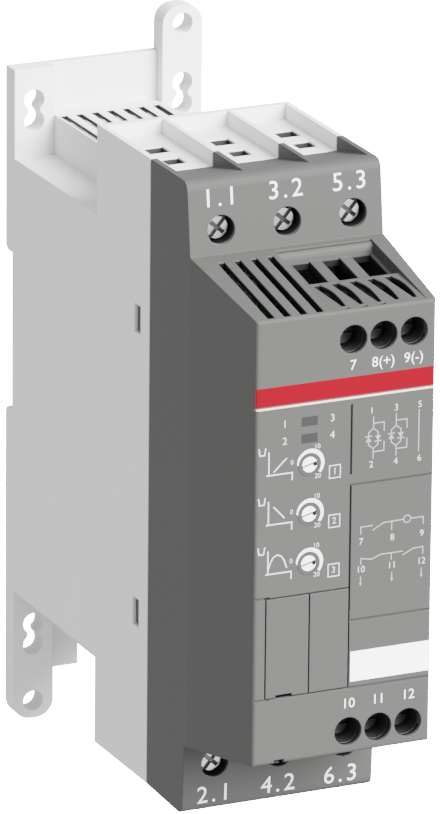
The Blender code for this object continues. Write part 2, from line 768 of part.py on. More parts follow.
def hollow_cover(cover):
    """The inside of the shell: a side profile and a plan, both moved in by the wall."""
    floor = POCKET_DROP + POCKET_FLOOR
    walls = (-REACH, floor, COVER_WALL, COVER_WALL, COVER_WALL, COVER_WALL, COVER_WALL, floor)
    hollow = prism("cover_hollow", [inset(cover_profile(), walls)], "X", -HALF, HALF, cutter=True)
    walls = (COVER_SIDE, COVER_SIDE, COVER_WALL, COVER_SIDE, COVER_SIDE, -REACH)
    plan = prism("hollow_plan", [inset(cover_plan(), walls)], "Z", -REACH, HEIGHT + REACH, cutter=True)
    combine(hollow, plan, "INTERSECT")
    cut(cover, hollow)


def add_terminal_towers(cover):
    """Partitions and screw bosses in both terminal parts, and the ramps."""
    walls, ramps = [], []
    bosses, bores, shanks = [], [], []
    spans = pole_spans()
    for upper in (True, False):
        low, high = span_at_end(upper, 0.5, SHOULDER_DROP)
        for left, right in ((spans[0][1], spans[1][0]), (spans[1][1], spans[2][0])):
            walls.append(((left, -FACE_LOWER_BOTTOM + 1, low), (right, -COVER_BACK, high)))
        z = screw_z(upper)
        head = -face_y(upper, z) - POWER_HEAD_SINK
        seat = head - POWER_HEAD_THICK - GAP
        for pole in (1, 2, 3):
            x = pole_x(pole)
            bosses.append((x, z, BOSS_R, face_y(upper, z) + COVER_WALL / 2, -seat + BOSS_SHOULDER))
            bores.append((x, z, POWER_BORE_R, face_y(upper, z) - REACH, -seat))
            hole = POWER_SHANK_R + GAP
            shanks.append((x, z, hole, -seat - 1, -seat + BOSS_SHOULDER + REACH))
        for left, right in spans:
            ramps.append(ramp_cutter(upper, left, right))
    join(cover, boxes("pole_partitions", walls, cutter=True))
    join(cover, rods("screw_bosses", bosses, ROUND_COUNT, cutter=True))
    cut(cover, rods("screw_bores", bores, ROUND_COUNT, cutter=True))
    cut(cover, rods("shank_holes", shanks, SMALL_ROUND_COUNT, cutter=True))
    cut(cover, *ramps)


def add_snap_hooks(cover):
    """Four arms that reach into the housing, each with a hook for its window."""
    arms, roots, hooks = [], [], []
    root = COVER_BACK + SNAP_ROOT
    for upper in (True, False):
        middle = at_end(upper, SNAP_DROP)
        low, high = middle - SNAP_HEIGHT / 2 + GAP, middle + SNAP_HEIGHT / 2 - GAP
        for side in (-1, 1):
            inner = HOUSING_HALF_INSIDE - GAP
            left, right = sorted((side * inner, side * (inner - SNAP_ARM)))
            arms.append(((left, -root, low), (right, -SNAP_START - GAP, high)))
            left, right = sorted((side * (inner - SNAP_ARM / 2), side * (HALF - 2 * GAP)))
            hooks.append(((left, -SNAP_END + GAP, low), (right, -SNAP_START - GAP, high)))
            left, right = sorted((side * (inner - SNAP_ARM / 2), side * (HALF - COVER_SIDE / 2)))
            roots.append(((left, -root, low), (right, -COVER_BACK - GAP, high)))
    join(
        cover,
        boxes("snap_roots", roots, cutter=True),
        boxes("snap_arms", arms, cutter=True),
        boxes("snap_hooks", hooks, cutter=True),
    )


def ramp_cutter(upper, left, right):
    """The sloping floor that carries a wire pocket on into the cover."""
    end = "upper" if upper else "lower"
    fall = 0 if upper else COVER_FOOT * (RAMP_END - COVER_BACK) / (FACE_LOWER_BOTTOM - COVER_BACK)
    floor, rim, clear = (at_end(upper, drop) for drop in (POCKET_DROP, -fall, -REACH))
    outline = [(-COVER_BACK + REACH, floor), (-COVER_BACK, floor), (-RAMP_END, rim), (-RAMP_END, clear)]
    outline.append((-COVER_BACK + REACH, clear))
    return prism(f"ramp_{end}_{left:.0f}", [outline], "X", left, right, cutter=True)


def control_rows():
    return ("upper", True, CONTROL_UPPER_Z), ("lower", False, CONTROL_LOWER_Z)


def knob_zs():
    return [KNOB_TOP_Z - i * KNOB_PITCH for i in range(KNOB_COUNT)]


def cut_front_openings(cover):
    ledge = DOOR_LEDGE
    pad_back = -DEPTH + COVER_WALL + DOOR_LEDGE_THICK
    pad = (
        (DOOR_LEFT - ledge, -DEPTH + COVER_WALL / 2, DOOR_BOTTOM - ledge),
        (DOOR_RIGHT + ledge, pad_back, DOOR_TOP + ledge),
    )
    rebate = (
        (DOOR_LEFT, -DEPTH - REACH, DOOR_BOTTOM),
        (DOOR_RIGHT, -DEPTH + DOOR_THICK + GAP, DOOR_TOP),
    )
    well = (
        (DOOR_LEFT + ledge, -DEPTH - REACH, DOOR_BOTTOM + ledge),
        (DOOR_RIGHT - ledge, pad_back + REACH, DOOR_TOP - ledge),
    )
    join(cover, boxes("door_ledge", [pad], cutter=True))
    cut(cover, boxes("door_rebate", [rebate], cutter=True), boxes("door_well", [well], cutter=True))
    bores = []
    for _, _, z in control_rows():
        for x in CONTROL_X:
            bores.append((x, z, CONTROL_BORE_R, -DEPTH - REACH, -DEPTH + COVER_WALL + 1))
    for z in knob_zs():
        bores.append((KNOB_X, z, KNOB_HOLE_R, -DEPTH - REACH, -DEPTH + COVER_WALL + 1))
    cut(cover, rods("front_bores", bores, ROUND_COUNT, cutter=True))
    windows = []
    for z in WINDOW_Z:
        low = (WINDOW_X - WINDOW_WIDTH / 2, -DEPTH - REACH, z - WINDOW_HEIGHT / 2)
        high = (WINDOW_X + WINDOW_WIDTH / 2, -DEPTH + COVER_WALL + 1, z + WINDOW_HEIGHT / 2)
        windows.append((low, high))
    cut(cover, boxes("status_windows", windows, cutter=True))


def cut_panel_grooves(cover):
    """Fine grooves that divide the front into fields, and the slot at its lower edge."""
    half = GROOVE_WIDTH / 2
    left, right = -FRONT_HALF + GROOVE_EDGE, FRONT_HALF - GROOVE_EDGE
    back = -DEPTH + GROOVE_DEPTH
    front = -DEPTH - REACH
    x = DOOR_RIGHT - GAP / 2
    level = []
    for z, start, end in (
        (PANEL_SPLIT_Z, x - half, right),
        (PANEL_LABEL_Z, x, right),
        (DOOR_TOP, left, DOOR_LEFT + 1),
        (DOOR_BOTTOM, left, DOOR_LEFT + 1),
        (DOOR_BOTTOM, x, right),
    ):
        level.append(((start, front, z - half), (end, back, z + half)))
    upright = []
    for low, high in (
        (PANEL_SPLIT_Z + GROOVE_BREAK, max(WINDOW_Z) + GROOVE_BREAK),
        (PANEL_LABEL_Z + GROOVE_BREAK, PANEL_SPLIT_Z),
    ):
        upright.append(((x - half, front, low), (x + half, back + 0.1, high)))
    low = (BOTTOM_SLOT_LEFT, front, FRONT_BOTTOM - REACH)
    high = (BOTTOM_SLOT_LEFT + BOTTOM_SLOT_WIDTH, -DEPTH + COVER_WALL / 2, FRONT_BOTTOM + BOTTOM_SLOT_DEPTH)
    cut(
        cover,
        boxes("level_grooves", level, cutter=True),
        boxes("upright_grooves", upright, cutter=True),
        boxes("bottom_slot", [(low, high)], cutter=True),
    )


def on_slant(upper, points):
    """Side view points given as y and height above the slanted surface, as (y, z)."""
    out = 1 if upper else -1
    return [(y, slant_z(upper, y) + out * offset) for y, offset in points]


def cut_slanted_surfaces(cover):
    through = COVER_WALL * 1.4
    stop = DEPTH - SLOT_FRONT_WALL
    for end, upper, _ in control_rows():
        add_wire_recess(cover, end, upper)
        corners = [(-SLOT_LEFT_START, 1.5), (-stop, 1.5), (-stop, -through), (-SLOT_LEFT_START, -through)]
        for i in range(SLOT_LEFT_COUNT):
            left = SLOT_LEFT_X + i * SLOT_PITCH - SLOT_WIDTH / 2
            name = f"slot_{end}_{i}"
            cut(cover, prism(name, [on_slant(upper, corners)], "X", left, left + SLOT_WIDTH, cutter=True))
        back, front, below = -SLOT_LEFT_START + 0.5, -DEPTH + COVER_WALL + 0.2, -COVER_WALL - 0.8
        corners = [(back, -SHELF_THICK), (front, -SHELF_THICK), (front, below), (back, below)]
        left, right = SLOT_LEFT_X - SLOT_WIDTH / 2 - 0.4, left + SLOT_WIDTH + 0.1
        cut(cover, prism(f"thin_slots_{end}", [on_slant(upper, corners)], "X", left, right, cutter=True))
        cut(cover, prism(f"fangs_{end}", fang_outlines(), "Z", *fang_heights(upper), cutter=True))


def fang_outlines():
    """Plan views of the slots in the plate: they lean to the right and bulge there."""
    outlines = []
    for i in range(FANG_COUNT):
        right = FANG_X + i * FANG_PITCH
        length = FANG_END - FANG_START
        outline = [(right - FANG_BACK_WIDTH, -FANG_START), (right - FANG_TIP_WIDTH, -FANG_END)]
        for share, bulge in FANG_BULGES:
            outline.append((right + bulge, -FANG_START - share * length))
        outlines.append(outline)
        if i < FANG_TIP_COUNT:
            low, high = -DEPTH + FANG_TIP_WALL, -FANG_END - 0.6
            tip = right - FANG_TIP_WIDTH
            outlines.append([(tip, low), (right + 0.4, low), (right + 0.4, high), (tip, high)])
    return outlines


def fang_heights(upper):
    """The stretch of height that takes the cutter through the plate and no further."""
    out = 1 if upper else -1
    inside = slant_z(upper, -DEPTH) - out * COVER_WALL * 1.4
    outside = slant_z(upper, -RECESS_END) + out * REACH
    return sorted((inside, outside))


def recess_depth(upper):
    return RECESS_DEPTH if upper else RECESS_DEPTH_LOWER


def recess_outline(depth):
    """Side view of the recess: a fine groove, a rounded bar behind it and a level floor."""
    bar = RECESS_START + BAR_GROOVE
    points = [(-RECESS_START, REACH), (-RECESS_START, -BAR_GROOVE_DEPTH), (-bar, -BAR_GROOVE_DEPTH)]
    for share in (0.0, 0.35, 0.65, 0.88, 1.0):
        fall = 1 - math.sqrt(1 - share**2)
        points.append((-bar - share * BAR_ROUND, -0.3 - fall * (depth - 0.3) * 0.6))
    points += [(-ENTRY_START, -depth), (-RECESS_END, -depth), (-RECESS_END, REACH)]
    return points


def add_wire_recess(cover, end, upper):
    """The recess that leads the control wires in, with its own thickened floor."""
    depth = recess_depth(upper)
    tray_depth = depth + COVER_WALL
    back, front = -RECESS_START + 1, -RECESS_END - COVER_WALL
    corners = [(back, -0.5), (front, -0.5), (front, -tray_depth), (back, -tray_depth)]
    left, right = RECESS_LEFT - RECESS_TRAY_SIDE, RECESS_RIGHT + RECESS_TRAY_SIDE
    tray = prism(f"recess_tray_{end}", [on_slant(upper, corners)], "X", left, right, cutter=True)
    outline = on_slant(upper, recess_outline(depth))
    recess = prism(f"recess_{end}", [outline], "X", RECESS_LEFT, RECESS_RIGHT, cutter=True)
    rim = DEPTH - PLATE_RIM
    wedge = [(-RECESS_END + 0.5, REACH), (-rim, REACH), (-rim, -0.05), (-RECESS_END + 0.5, -PLATE_DROP)]
    plate = prism(f"plate_{end}", [on_slant(upper, wedge)], "X", RECESS_LEFT, RECESS_RIGHT, cutter=True)
    out = 1 if upper else -1
    below = slant_z(upper, -RECESS_END) - out * (tray_depth + REACH)
    above = slant_z(upper, -RECESS_START) - out * depth / 2
    low, high = sorted((below, above))
    half = ENTRY_WIDTH / 2
    holes = [((x - half, -ENTRY_END, low), (x + half, -ENTRY_START, high)) for x in CONTROL_X]
    back, front, below = -RECESS_END + 0.5, -DEPTH + COVER_WALL + 0.2, -tray_depth - 0.8
    corners = [(back, -PLATE_DROP - SHELF_THICK), (front, -0.15 - SHELF_THICK), (front, below), (back, below)]
    left, right = RECESS_LEFT + GAP, RECESS_RIGHT - GAP
    space = prism(f"plate_space_{end}", [on_slant(upper, corners)], "X", left, right, cutter=True)
    join(cover, tray)
    cut(cover, recess, plate, boxes(f"wire_entries_{end}", holes, cutter=True), space)


def make_heat_sink():
    """An extruded sink: fins to the rear and a base plate that carries the modules."""
    half = HOUSING_HALF_INSIDE - GAP
    back = REAR_WALL + GAP
    pitch = (2 * half - FIN_THICK) / (FIN_COUNT - 1)
    outline = [(-half, -SINK_FRONT), (half, -SINK_FRONT)]
    base = SINK_FRONT - HEAT_SINK_BASE
    for fin in reversed(range(FIN_COUNT)):
        right = -half + fin * pitch + FIN_THICK
        outline += [(right, -base), (right, -back), (right - FIN_THICK, -back), (right - FIN_THICK, -base)]
    outline = [point for i, point in enumerate(outline) if point != outline[i - 1]]
    low = SHOULDER_DROP + SHOULDER_WALL + GAP
    prism("heat_sink", [outline], "Z", low, HEIGHT - low, ALUMINIUM)


def make_modules_and_relays():
    for pole, side in ((1, -1), (3, 1)):
        inner = HOUSING_HALF_INSIDE - GAP - MODULE_WIDTH
        left, right = sorted((side * inner, side * (inner + MODULE_WIDTH)))
        low = (left, -MODULE_BACK - MODULE_THICK, HEIGHT / 2 - MODULE_HEIGHT / 2)
        high = (right, -MODULE_BACK, HEIGHT / 2 + MODULE_HEIGHT / 2)
        boxes(f"thyristor_module_{pole}", [(low, high)], finish=BLACK)
        outer = HALF - COVER_SIDE - GAP
        left, right = sorted((side * outer, side * (outer - RELAY_WIDTH)))
        back = POWER_BOARD_FRONT + GAP
        low = (left, -back - RELAY_DEPTH, HEIGHT / 2 - RELAY_HEIGHT / 2)
        high = (right, -back, HEIGHT / 2 + RELAY_HEIGHT / 2)
        boxes(f"bypass_relay_{pole}", [(low, high)], finish=BLACK)


def make_boards():
    half = HOUSING_HALF_INSIDE - GAP
    low = SHOULDER_DROP + SHOULDER_WALL + GAP
    plate = ((-half, -POWER_BOARD_FRONT, low), (half, -POWER_BOARD_BACK, HEIGHT - low))
    boxes("power_board", [plate], finish=BOARD)
    low = CONTROL_LOWER_Z + BLOCK_INWARD + GAP
    high = CONTROL_UPPER_Z - BLOCK_INWARD - GAP
    corner = (-CONTROL_BOARD_HALF, -CONTROL_BOARD_FRONT, low)
    boxes("control_board", [(corner, (CONTROL_BOARD_HALF, -CONTROL_BOARD_BACK, high))], finish=BOARD)


def make_busbars():
    """Two phases end on the power board, and the middle one runs straight through."""
    front = BAR_BACK + BAR_THICK
    low = BAR_END_DROP
    x = pole_x(2)
    corner = (x - BAR_WIDTH / 2, -front, low)
    boxes("busbar_through_2", [(corner, (x + BAR_WIDTH / 2, -BAR_BACK, HEIGHT - low))], finish=COPPER)
    foot_front = POWER_BOARD_FRONT + GAP
    for pole in (1, 3):
        for name, upper in (("line", True), ("load", False)):
            z = BAR_FOOT_Z if upper else HEIGHT - BAR_FOOT_Z
            inward = -1 if upper else 1
            tip = at_end(upper, BAR_END_DROP)
            outline = [
                (-BAR_BACK, tip),
                (-front, tip),
                (-front, z),
                (-foot_front - BAR_THICK, z),
                (-foot_front - BAR_THICK, z + inward * BAR_FOOT_LENGTH),
                (-foot_front, z + inward * BAR_FOOT_LENGTH),
                (-foot_front, z - inward * BAR_THICK),
                (-BAR_BACK, z - inward * BAR_THICK),
            ]
            x = pole_x(pole)
            left, right = x - BAR_WIDTH / 2, x + BAR_WIDTH / 2
            prism(f"busbar_{name}_{pole}", [outline], "X", left, right, COPPER)


def make_power_terminals():
    for end, upper in (("top", True), ("bottom", False)):
        z = screw_z(upper)
        for pole in (1, 2, 3):
            make_power_clamp(f"power_clamp_{end}_{pole}", pole_x(pole), z)
            make_power_screw(f"power_screw_{end}_{pole}", pole_x(pole), upper)


def make_power_clamp(name, x, z):
    """A rectangular cage, open upwards and downwards for the wire and the bar."""
    half, tall = CLAMP_WIDTH / 2, CLAMP_HEIGHT / 2
    wall = CLAMP_WALL
    clamp = boxes(name, [((-half, -CLAMP_FRONT, -tall), (half, -CLAMP_BACK, tall))], (x, 0, z), PLATED)
    low = (-half + wall, -CLAMP_FRONT + CLAMP_NUT, -tall - REACH)
    high = (half - wall, -CLAMP_BACK - wall, tall + REACH)
    window = boxes(f"{name}_window", [(low, high)], (x, 0, z), cutter=True)
    hole = [(0, 0, POWER_SHANK_R + GAP, -CLAMP_FRONT - REACH, -CLAMP_FRONT + CLAMP_NUT + REACH)]
    cut(clamp, window, rods(f"{name}_hole", hole, SMALL_ROUND_COUNT, (x, 0, z), cutter=True))


def turned(name, profile, sides, location, finish):
    """A turned piece about the Y axis from (radius, y) points, listed from its front."""
    shape = bmesh.new()
    verts = [shape.verts.new((radius * MM, y * MM, 0)) for radius, y in profile]
    for first, second in zip(verts, verts[1:]):
        shape.edges.new((first, second))
    mesh = bpy.data.meshes.new(name)
    shape.to_mesh(mesh)
    shape.free()
    obj = add(name, mesh, location, finish)
    spin = obj.modifiers.new("turn", "SCREW")
    spin.axis = "Y"
    spin.steps = sides
    spin.render_steps = sides
    spin.use_merge_vertices = True
    spin.merge_threshold = 1e-6
    spin.use_smooth_shade = False
    graph = bpy.context.evaluated_depsgraph_get()
    solid = bpy.data.meshes.new_from_object(obj.evaluated_get(graph))
    obj.modifiers.clear()
    shape = bmesh.new()
    shape.from_mesh(solid)
    bmesh.ops.remove_doubles(shape, verts=shape.verts, dist=1e-7)
    bmesh.ops.recalc_face_normals(shape, faces=shape.faces)
    shape.to_mesh(solid)
    shape.free()
    obj.data = solid
    return obj


def make_power_screw(name, x, upper):
    z = screw_z(upper)
    head = face_y(upper, z) + POWER_HEAD_SINK
    tip = -BAR_BACK - BAR_THICK - GAP - head
    chamfer = 0.5
    profile = [
        (0, 0),
        (POWER_HEAD_R - chamfer, 0),
        (POWER_HEAD_R, chamfer),
        (POWER_HEAD_R, POWER_HEAD_THICK),
        (POWER_SHANK_R, POWER_HEAD_THICK),
        (POWER_SHANK_R, tip - chamfer),
        (POWER_SHANK_R - chamfer, tip),
        (0, tip),
    ]
    screw = turned(name, profile, ROUND_COUNT, (x, head, z), PLATED)
    slot, cross, deep = 0.45, 2.0, 1.3
    bars = [((-POWER_HEAD_R - 1, -1, -slot), (POWER_HEAD_R + 1, 0.8, slot))]
    slotted = boxes(f"{name}_slot", bars, (x, head, z), cutter=True)
    bars = [((-slot, -1, -cross), (slot, deep, cross))]
    crossed = boxes(f"{name}_cross", bars, (x, head, z), cutter=True)
    for cutter in (slotted, crossed):
        cutter.rotation_euler = (0, -SCREW_TURN, 0)
    cut(screw, slotted, crossed)


def make_control_block(end, upper, z):
    """A moulded block with three chambers: wires from outside, screws from the front."""
    outward = 1 if upper else -1
    inner = z - outward * BLOCK_INWARD
    tray = recess_depth(upper) + COVER_WALL + GAP
    outer = slant_z(upper, -RECESS_END - COVER_WALL) - outward * tray
    low, high = sorted((inner, outer))
    span = ((BLOCK_LEFT, -BLOCK_FRONT, low), (BLOCK_RIGHT, -BLOCK_BACK, high))
    block = boxes(f"control_block_{end}", [span], finish=BLACK)
    chambers, slots, bores, shanks = [], [], [], []
    front = CONTROL_SEAT - CONTROL_SHOULDER
    for x in CONTROL_X:
        low, high = sorted((inner + outward * BLOCK_WALL, outer + outward * REACH))
        chambers.append(
            ((x - CHAMBER_HALF, -front, low), (x + CHAMBER_HALF, -BLOCK_BACK - BLOCK_WALL, high))
        )
        low, high = sorted((inner - outward * REACH, inner + outward * (BLOCK_WALL + 1)))
        half = CONTACT_HALF + GAP
        contact_back = CONTACT_FRONT - CONTACT_THICK
        slots.append(((x - half, -CONTACT_FRONT - GAP, low), (x + half, -contact_back + GAP, high)))
        bores.append((x, z, CONTROL_BORE_R, -BLOCK_FRONT - REACH, -CONTROL_SEAT))
        shanks.append((x, z, CONTROL_SHANK_R + GAP, -CONTROL_SEAT - 1, -front + 1))
    cut(
        block,
        boxes(f"block_chambers_{end}", chambers, cutter=True),
        boxes(f"block_slots_{end}", slots, cutter=True),
        rods(f"block_bores_{end}", bores, ROUND_COUNT, cutter=True),
        rods(f"block_shanks_{end}", shanks, SMALL_ROUND_COUNT, cutter=True),
    )


def make_control_terminals():
    for end, upper, z in control_rows():
        make_control_block(end, upper, z)
        for number, x in enumerate(CONTROL_X, 1):
            make_control_clamp(f"control_clamp_{end}_{number}", x, z)
            make_control_screw(f"control_screw_{end}_{number}", x, z)
            outward = 1 if upper else -1
            tip = z + outward * CONTROL_CLAMP_HEIGHT / 2
            tail = z - outward * (BLOCK_INWARD + CONTACT_DROP)
            low, high = sorted((tip, tail))
            corner = (x - CONTACT_HALF, -CONTACT_FRONT, low)
            span = (corner, (x + CONTACT_HALF, -CONTACT_FRONT + CONTACT_THICK, high))
            boxes(f"control_contact_{end}_{number}", [span], finish=COPPER)


def make_control_clamp(name, x, z):
    half, tall = CONTROL_CLAMP_HALF, CONTROL_CLAMP_HEIGHT / 2
    back, front = CONTROL_CLAMP_BACK, CONTROL_CLAMP_FRONT
    clamp = boxes(name, [((-half, -front, -tall), (half, -back, tall))], (x, 0, z), PLATED)
    side = CONTROL_CLAMP_SIDE
    low = (-half + side, -front + CONTROL_CLAMP_NUT, -tall - REACH)
    high = (half - side, -back - CONTROL_CLAMP_BACK_WALL, tall + REACH)
    window = boxes(f"{name}_window", [(low, high)], (x, 0, z), cutter=True)
    hole = [(0, 0, CONTROL_SHANK_R + GAP, -front - REACH, -front + CONTROL_CLAMP_NUT + 1)]
    cut(clamp, window, rods(f"{name}_hole", hole, SMALL_ROUND_COUNT, (x, 0, z), cutter=True))


def make_control_screw(name, x, z):
    head = -CONTROL_HEAD_FRONT
    tip = -CONTACT_FRONT - GAP - head
    profile = [
        (0, 0),
        (CONTROL_HEAD_R - 0.3, 0),
        (CONTROL_HEAD_R, 0.3),
        (CONTROL_HEAD_R, CONTROL_HEAD_THICK),
        (CONTROL_SHANK_R, CONTROL_HEAD_THICK),
        (CONTROL_SHANK_R, tip),
        (0, tip),
    ]
    screw = turned(name, profile, SMALL_ROUND_COUNT, (x, head, z), DARK_STEEL)
    slot = [((-CONTROL_HEAD_R - 1, -1, -0.35), (CONTROL_HEAD_R + 1, 0.8, 0.35))]
    cut(screw, boxes(f"{name}_slot", slot, (x, head, z), cutter=True))


def make_pots():
    for number, z in enumerate(knob_zs(), 1):
        half = POT_SIZE / 2
        low, high = (-half, -POT_FRONT, -half), (half, -POT_BACK, half)
        body = boxes(f"pot_body_{number}", [(low, high)], (KNOB_X, 0, z), BLACK)
        hole = [(0, 0, KNOB_SHAFT_R + GAP, -POT_FRONT - 1, -POT_FRONT + KNOB_SHAFT_LENGTH + GAP)]
        cut(body, rods(f"pot_hole_{number}", hole, SMALL_ROUND_COUNT, (KNOB_X, 0, z), cutter=True))
        front = -DEPTH + KNOB_SINK
        shoulder = -POT_FRONT - GAP - front
        chamfer = 0.25
        profile = [
            (0, 0),
            (KNOB_R - chamfer, 0),
            (KNOB_R, chamfer),
            (KNOB_R, shoulder),
            (KNOB_SHAFT_R, shoulder),
            (KNOB_SHAFT_R, shoulder + KNOB_SHAFT_LENGTH),
            (0, shoulder + KNOB_SHAFT_LENGTH),
        ]
        knob = turned(f"pot_knob_{number}", profile, SMALL_ROUND_COUNT, (KNOB_X, front, z), WHITE)
        half = KNOB_SLOT / 2
        slot = [((-KNOB_R - 1, -1, -half), (KNOB_R + 1, KNOB_SLOT_DEPTH, half))]
        cut(knob, boxes(f"pot_slot_{number}", slot, (KNOB_X, front, z), cutter=True))


def make_light_guide():
    """One clear moulding: a foot on the board and a pipe up to each window."""
    half = WINDOW_WIDTH / 2 - GAP
    tall = WINDOW_HEIGHT / 2 - GAP
    back = CONTROL_BOARD_FRONT + GAP
    tip = DEPTH - 0.05
    low, high = min(WINDOW_Z) - tall, max(WINDOW_Z) + tall
    pipes = [((WINDOW_X - half, -tip, z - tall), (WINDOW_X + half, -back, z + tall)) for z in WINDOW_Z]
    guide = boxes("light_guide", [pipes[0]], finish=CLEAR)
    join(guide, boxes("light_pipe", [pipes[1]], cutter=True))
    foot = ((WINDOW_X - half, -back - 2.2, low), (WINDOW_X + half, -back, high))
    join(guide, boxes("light_foot", [foot], cutter=True))


def make_connector_covers():
    """Two flat blanking covers, each held by legs that reach in through the well."""
    split = GAP
    doors = (
        ("left", DOOR_LEFT + GAP, DOOR_SPLIT - split / 2, DOOR_LEFT + DOOR_LEDGE, DOOR_SPLIT),
        ("right", DOOR_SPLIT + split / 2, DOOR_RIGHT - GAP, DOOR_SPLIT, DOOR_RIGHT - DOOR_LEDGE),
    )
    low, high = DOOR_BOTTOM + GAP, DOOR_TOP - GAP
    for name, left, right, well_left, well_right in doors:
        plate = ((left, -DEPTH, low), (right, -DEPTH + DOOR_THICK, high))
        door = boxes(f"connector_cover_{name}", [plate], finish=DARK_GREY)
        leg_left, leg_right = well_left + 1.2, well_right - 1.2
        well_low, well_high = DOOR_BOTTOM + DOOR_LEDGE, DOOR_TOP - DOOR_LEDGE
        back = -DEPTH + DOOR_THICK + DOOR_LEG
        for leg_low in (well_low + GAP, well_high - GAP - DOOR_LEG_THICK):
            corner = (leg_left, -DEPTH + DOOR_THICK / 2, leg_low)
            leg = (corner, (leg_right, back, leg_low + DOOR_LEG_THICK))
            join(door, boxes(f"door_leg_{name}_{leg_low:.0f}", [leg], cutter=True))
        middle, half = left + PRY_PLACE, PRY_WIDTH / 2
        back = -DEPTH + DOOR_THICK + REACH
        pry = ((middle - half, -DEPTH - 1, low - 1), (middle + half, back, low + PRY_HEIGHT))
        if name == "left":
            cut(door, boxes("door_pry", [pry], cutter=True))


def make_plug_socket():
    x = (DOOR_LEFT + DOOR_SPLIT) / 2
    z = (DOOR_BOTTOM + DOOR_TOP) / 2
    half, tall = SOCKET_WIDTH / 2, SOCKET_HEIGHT / 2
    back = CONTROL_BOARD_FRONT + GAP
    low, high = (x - half, -back - SOCKET_DEPTH, z - tall), (x + half, -back, z + tall)
    socket = boxes("plug_socket", [(low, high)], finish=BLACK)
    wall = SOCKET_WALL
    low = (x - half + wall, -back - SOCKET_DEPTH - 1, z - tall + wall)
    high = (x + half - wall, -back - 1.2, z + tall - wall)
    cut(socket, boxes("socket_hollow", [(low, high)], cutter=True))


def make_latch():
    """A sliding latch in the rear channel: a wide flange inside and a rib in the mouth."""
    low = LATCH_TAB
    flange_low = DECK_DROP + LATCH_TRAVEL + 1
    lip_high = NOTCH_LOW + LATCH_LIP
    flange = ((-LATCH_HALF, -FLANGE_FRONT, flange_low), (LATCH_HALF, -FLANGE_BACK, NOTCH_LOW))
    latch = boxes("din_latch", [flange], finish=LIGHT_GREY)
    rib = [
        (-GAP, low),
        (-GAP, NOTCH_LOW),
        (-GAP - 0.9, lip_high),
        (-LATCH_LIPS, lip_high),
        (-LATCH_LIPS, NOTCH_LOW - 1),
        (-FLANGE_BACK - 0.5, NOTCH_LOW - 1),
        (-FLANGE_BACK - 0.5, flange_low + 1),
        (-LATCH_LIPS, flange_low),
        (-LATCH_LIPS, low),
    ]
    join(latch, prism("latch_rib", [rib], "X", -LATCH_RIB_HALF, LATCH_RIB_HALF, cutter=True))
    window = (
        (-LATCH_WINDOW_HALF, -REAR_WALL, LATCH_WINDOW_LOW),
        (LATCH_WINDOW_HALF, REACH, LATCH_WINDOW_HIGH),
    )
    tab = ((-3, -REAR_WALL, low + 1.2), (3, REACH, low + 2.6))
    cut(latch, boxes("latch_window", [window], cutter=True), boxes("latch_pull_slot", [tab], cutter=True))


def make_latch_spring():
    low = LATCH_WINDOW_LOW + LATCH_TRAVEL + 1.0 + SPRING_POST + GAP
    high = LATCH_WINDOW_HIGH - GAP
    centre_y = -(GAP + FLANGE_FRONT) / 2
    curve = bpy.data.curves.new("latch_spring", "CURVE")
    curve.dimensions = "3D"
    curve.bevel_depth = SPRING_WIRE_R * MM
    curve.bevel_resolution = 1
    curve.use_fill_caps = True
    per_turn = 8
    count = SPRING_TURN_COUNT * per_turn + 1
    spline = curve.splines.new("POLY")
    spline.points.add(count - 1)
    bottom, top = low + SPRING_WIRE_R, high - SPRING_WIRE_R
    for i, point in enumerate(spline.points):
        angle = 2 * math.pi * i / per_turn
        z = bottom + (top - bottom) * i / (count - 1)
        x, y = SPRING_R * math.cos(angle), SPRING_R * math.sin(angle)
        point.co = (x * MM, y * MM, z * MM, 1)
    spring = bpy.data.objects.new("latch_spring", curve)
    spring.parent = carrier
    spring.location = (0, centre_y * MM, 0)
    curve.materials.append(PLATED)
    parts.objects.link(spring)


def main():
    clear_scene()
    make_rear_housing()
    make_front_cover()
    make_heat_sink()
    make_modules_and_relays()
    make_boards()
    make_busbars()
    make_power_terminals()
    make_control_terminals()
    make_pots()
    make_light_guide()
    make_connector_covers()
    make_plug_socket()
    make_latch()
    make_latch_spring()
    for obj in parts.objects:
        if obj.name.startswith(("power_screw", "control_screw", "pot_knob")):
            smooth(obj)


main()
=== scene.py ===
"""Looks of a three phase soft starter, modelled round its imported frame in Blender.

Lengths are millimetres in the housing's own axes: X to the right, Y 0 at the rear plane
and negative towards the front, Z up from the underside of the body. place() turns them
into the frame's metres.
"""

import math

import bmesh
import bpy
from mathutils import Matrix, Vector


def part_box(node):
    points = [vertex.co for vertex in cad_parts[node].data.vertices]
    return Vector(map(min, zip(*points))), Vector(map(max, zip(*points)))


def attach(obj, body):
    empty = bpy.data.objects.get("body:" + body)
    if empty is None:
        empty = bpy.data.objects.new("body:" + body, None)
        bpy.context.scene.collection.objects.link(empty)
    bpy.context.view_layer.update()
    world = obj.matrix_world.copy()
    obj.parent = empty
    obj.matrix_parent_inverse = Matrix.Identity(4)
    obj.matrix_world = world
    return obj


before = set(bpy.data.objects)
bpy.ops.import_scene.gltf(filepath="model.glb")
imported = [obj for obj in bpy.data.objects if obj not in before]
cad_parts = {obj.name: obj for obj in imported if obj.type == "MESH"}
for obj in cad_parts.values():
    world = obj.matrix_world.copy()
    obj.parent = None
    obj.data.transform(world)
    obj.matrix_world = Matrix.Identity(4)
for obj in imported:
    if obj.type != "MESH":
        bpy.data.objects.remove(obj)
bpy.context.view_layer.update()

MM = 0.001
BODY = "housing"
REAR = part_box("rear_housing")[1][1]
FRONT = (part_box("front_cover")[0][1] - REAR) / MM
HEIGHT = 141.2
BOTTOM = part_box("front_cover")[1][2] - HEIGHT * MM

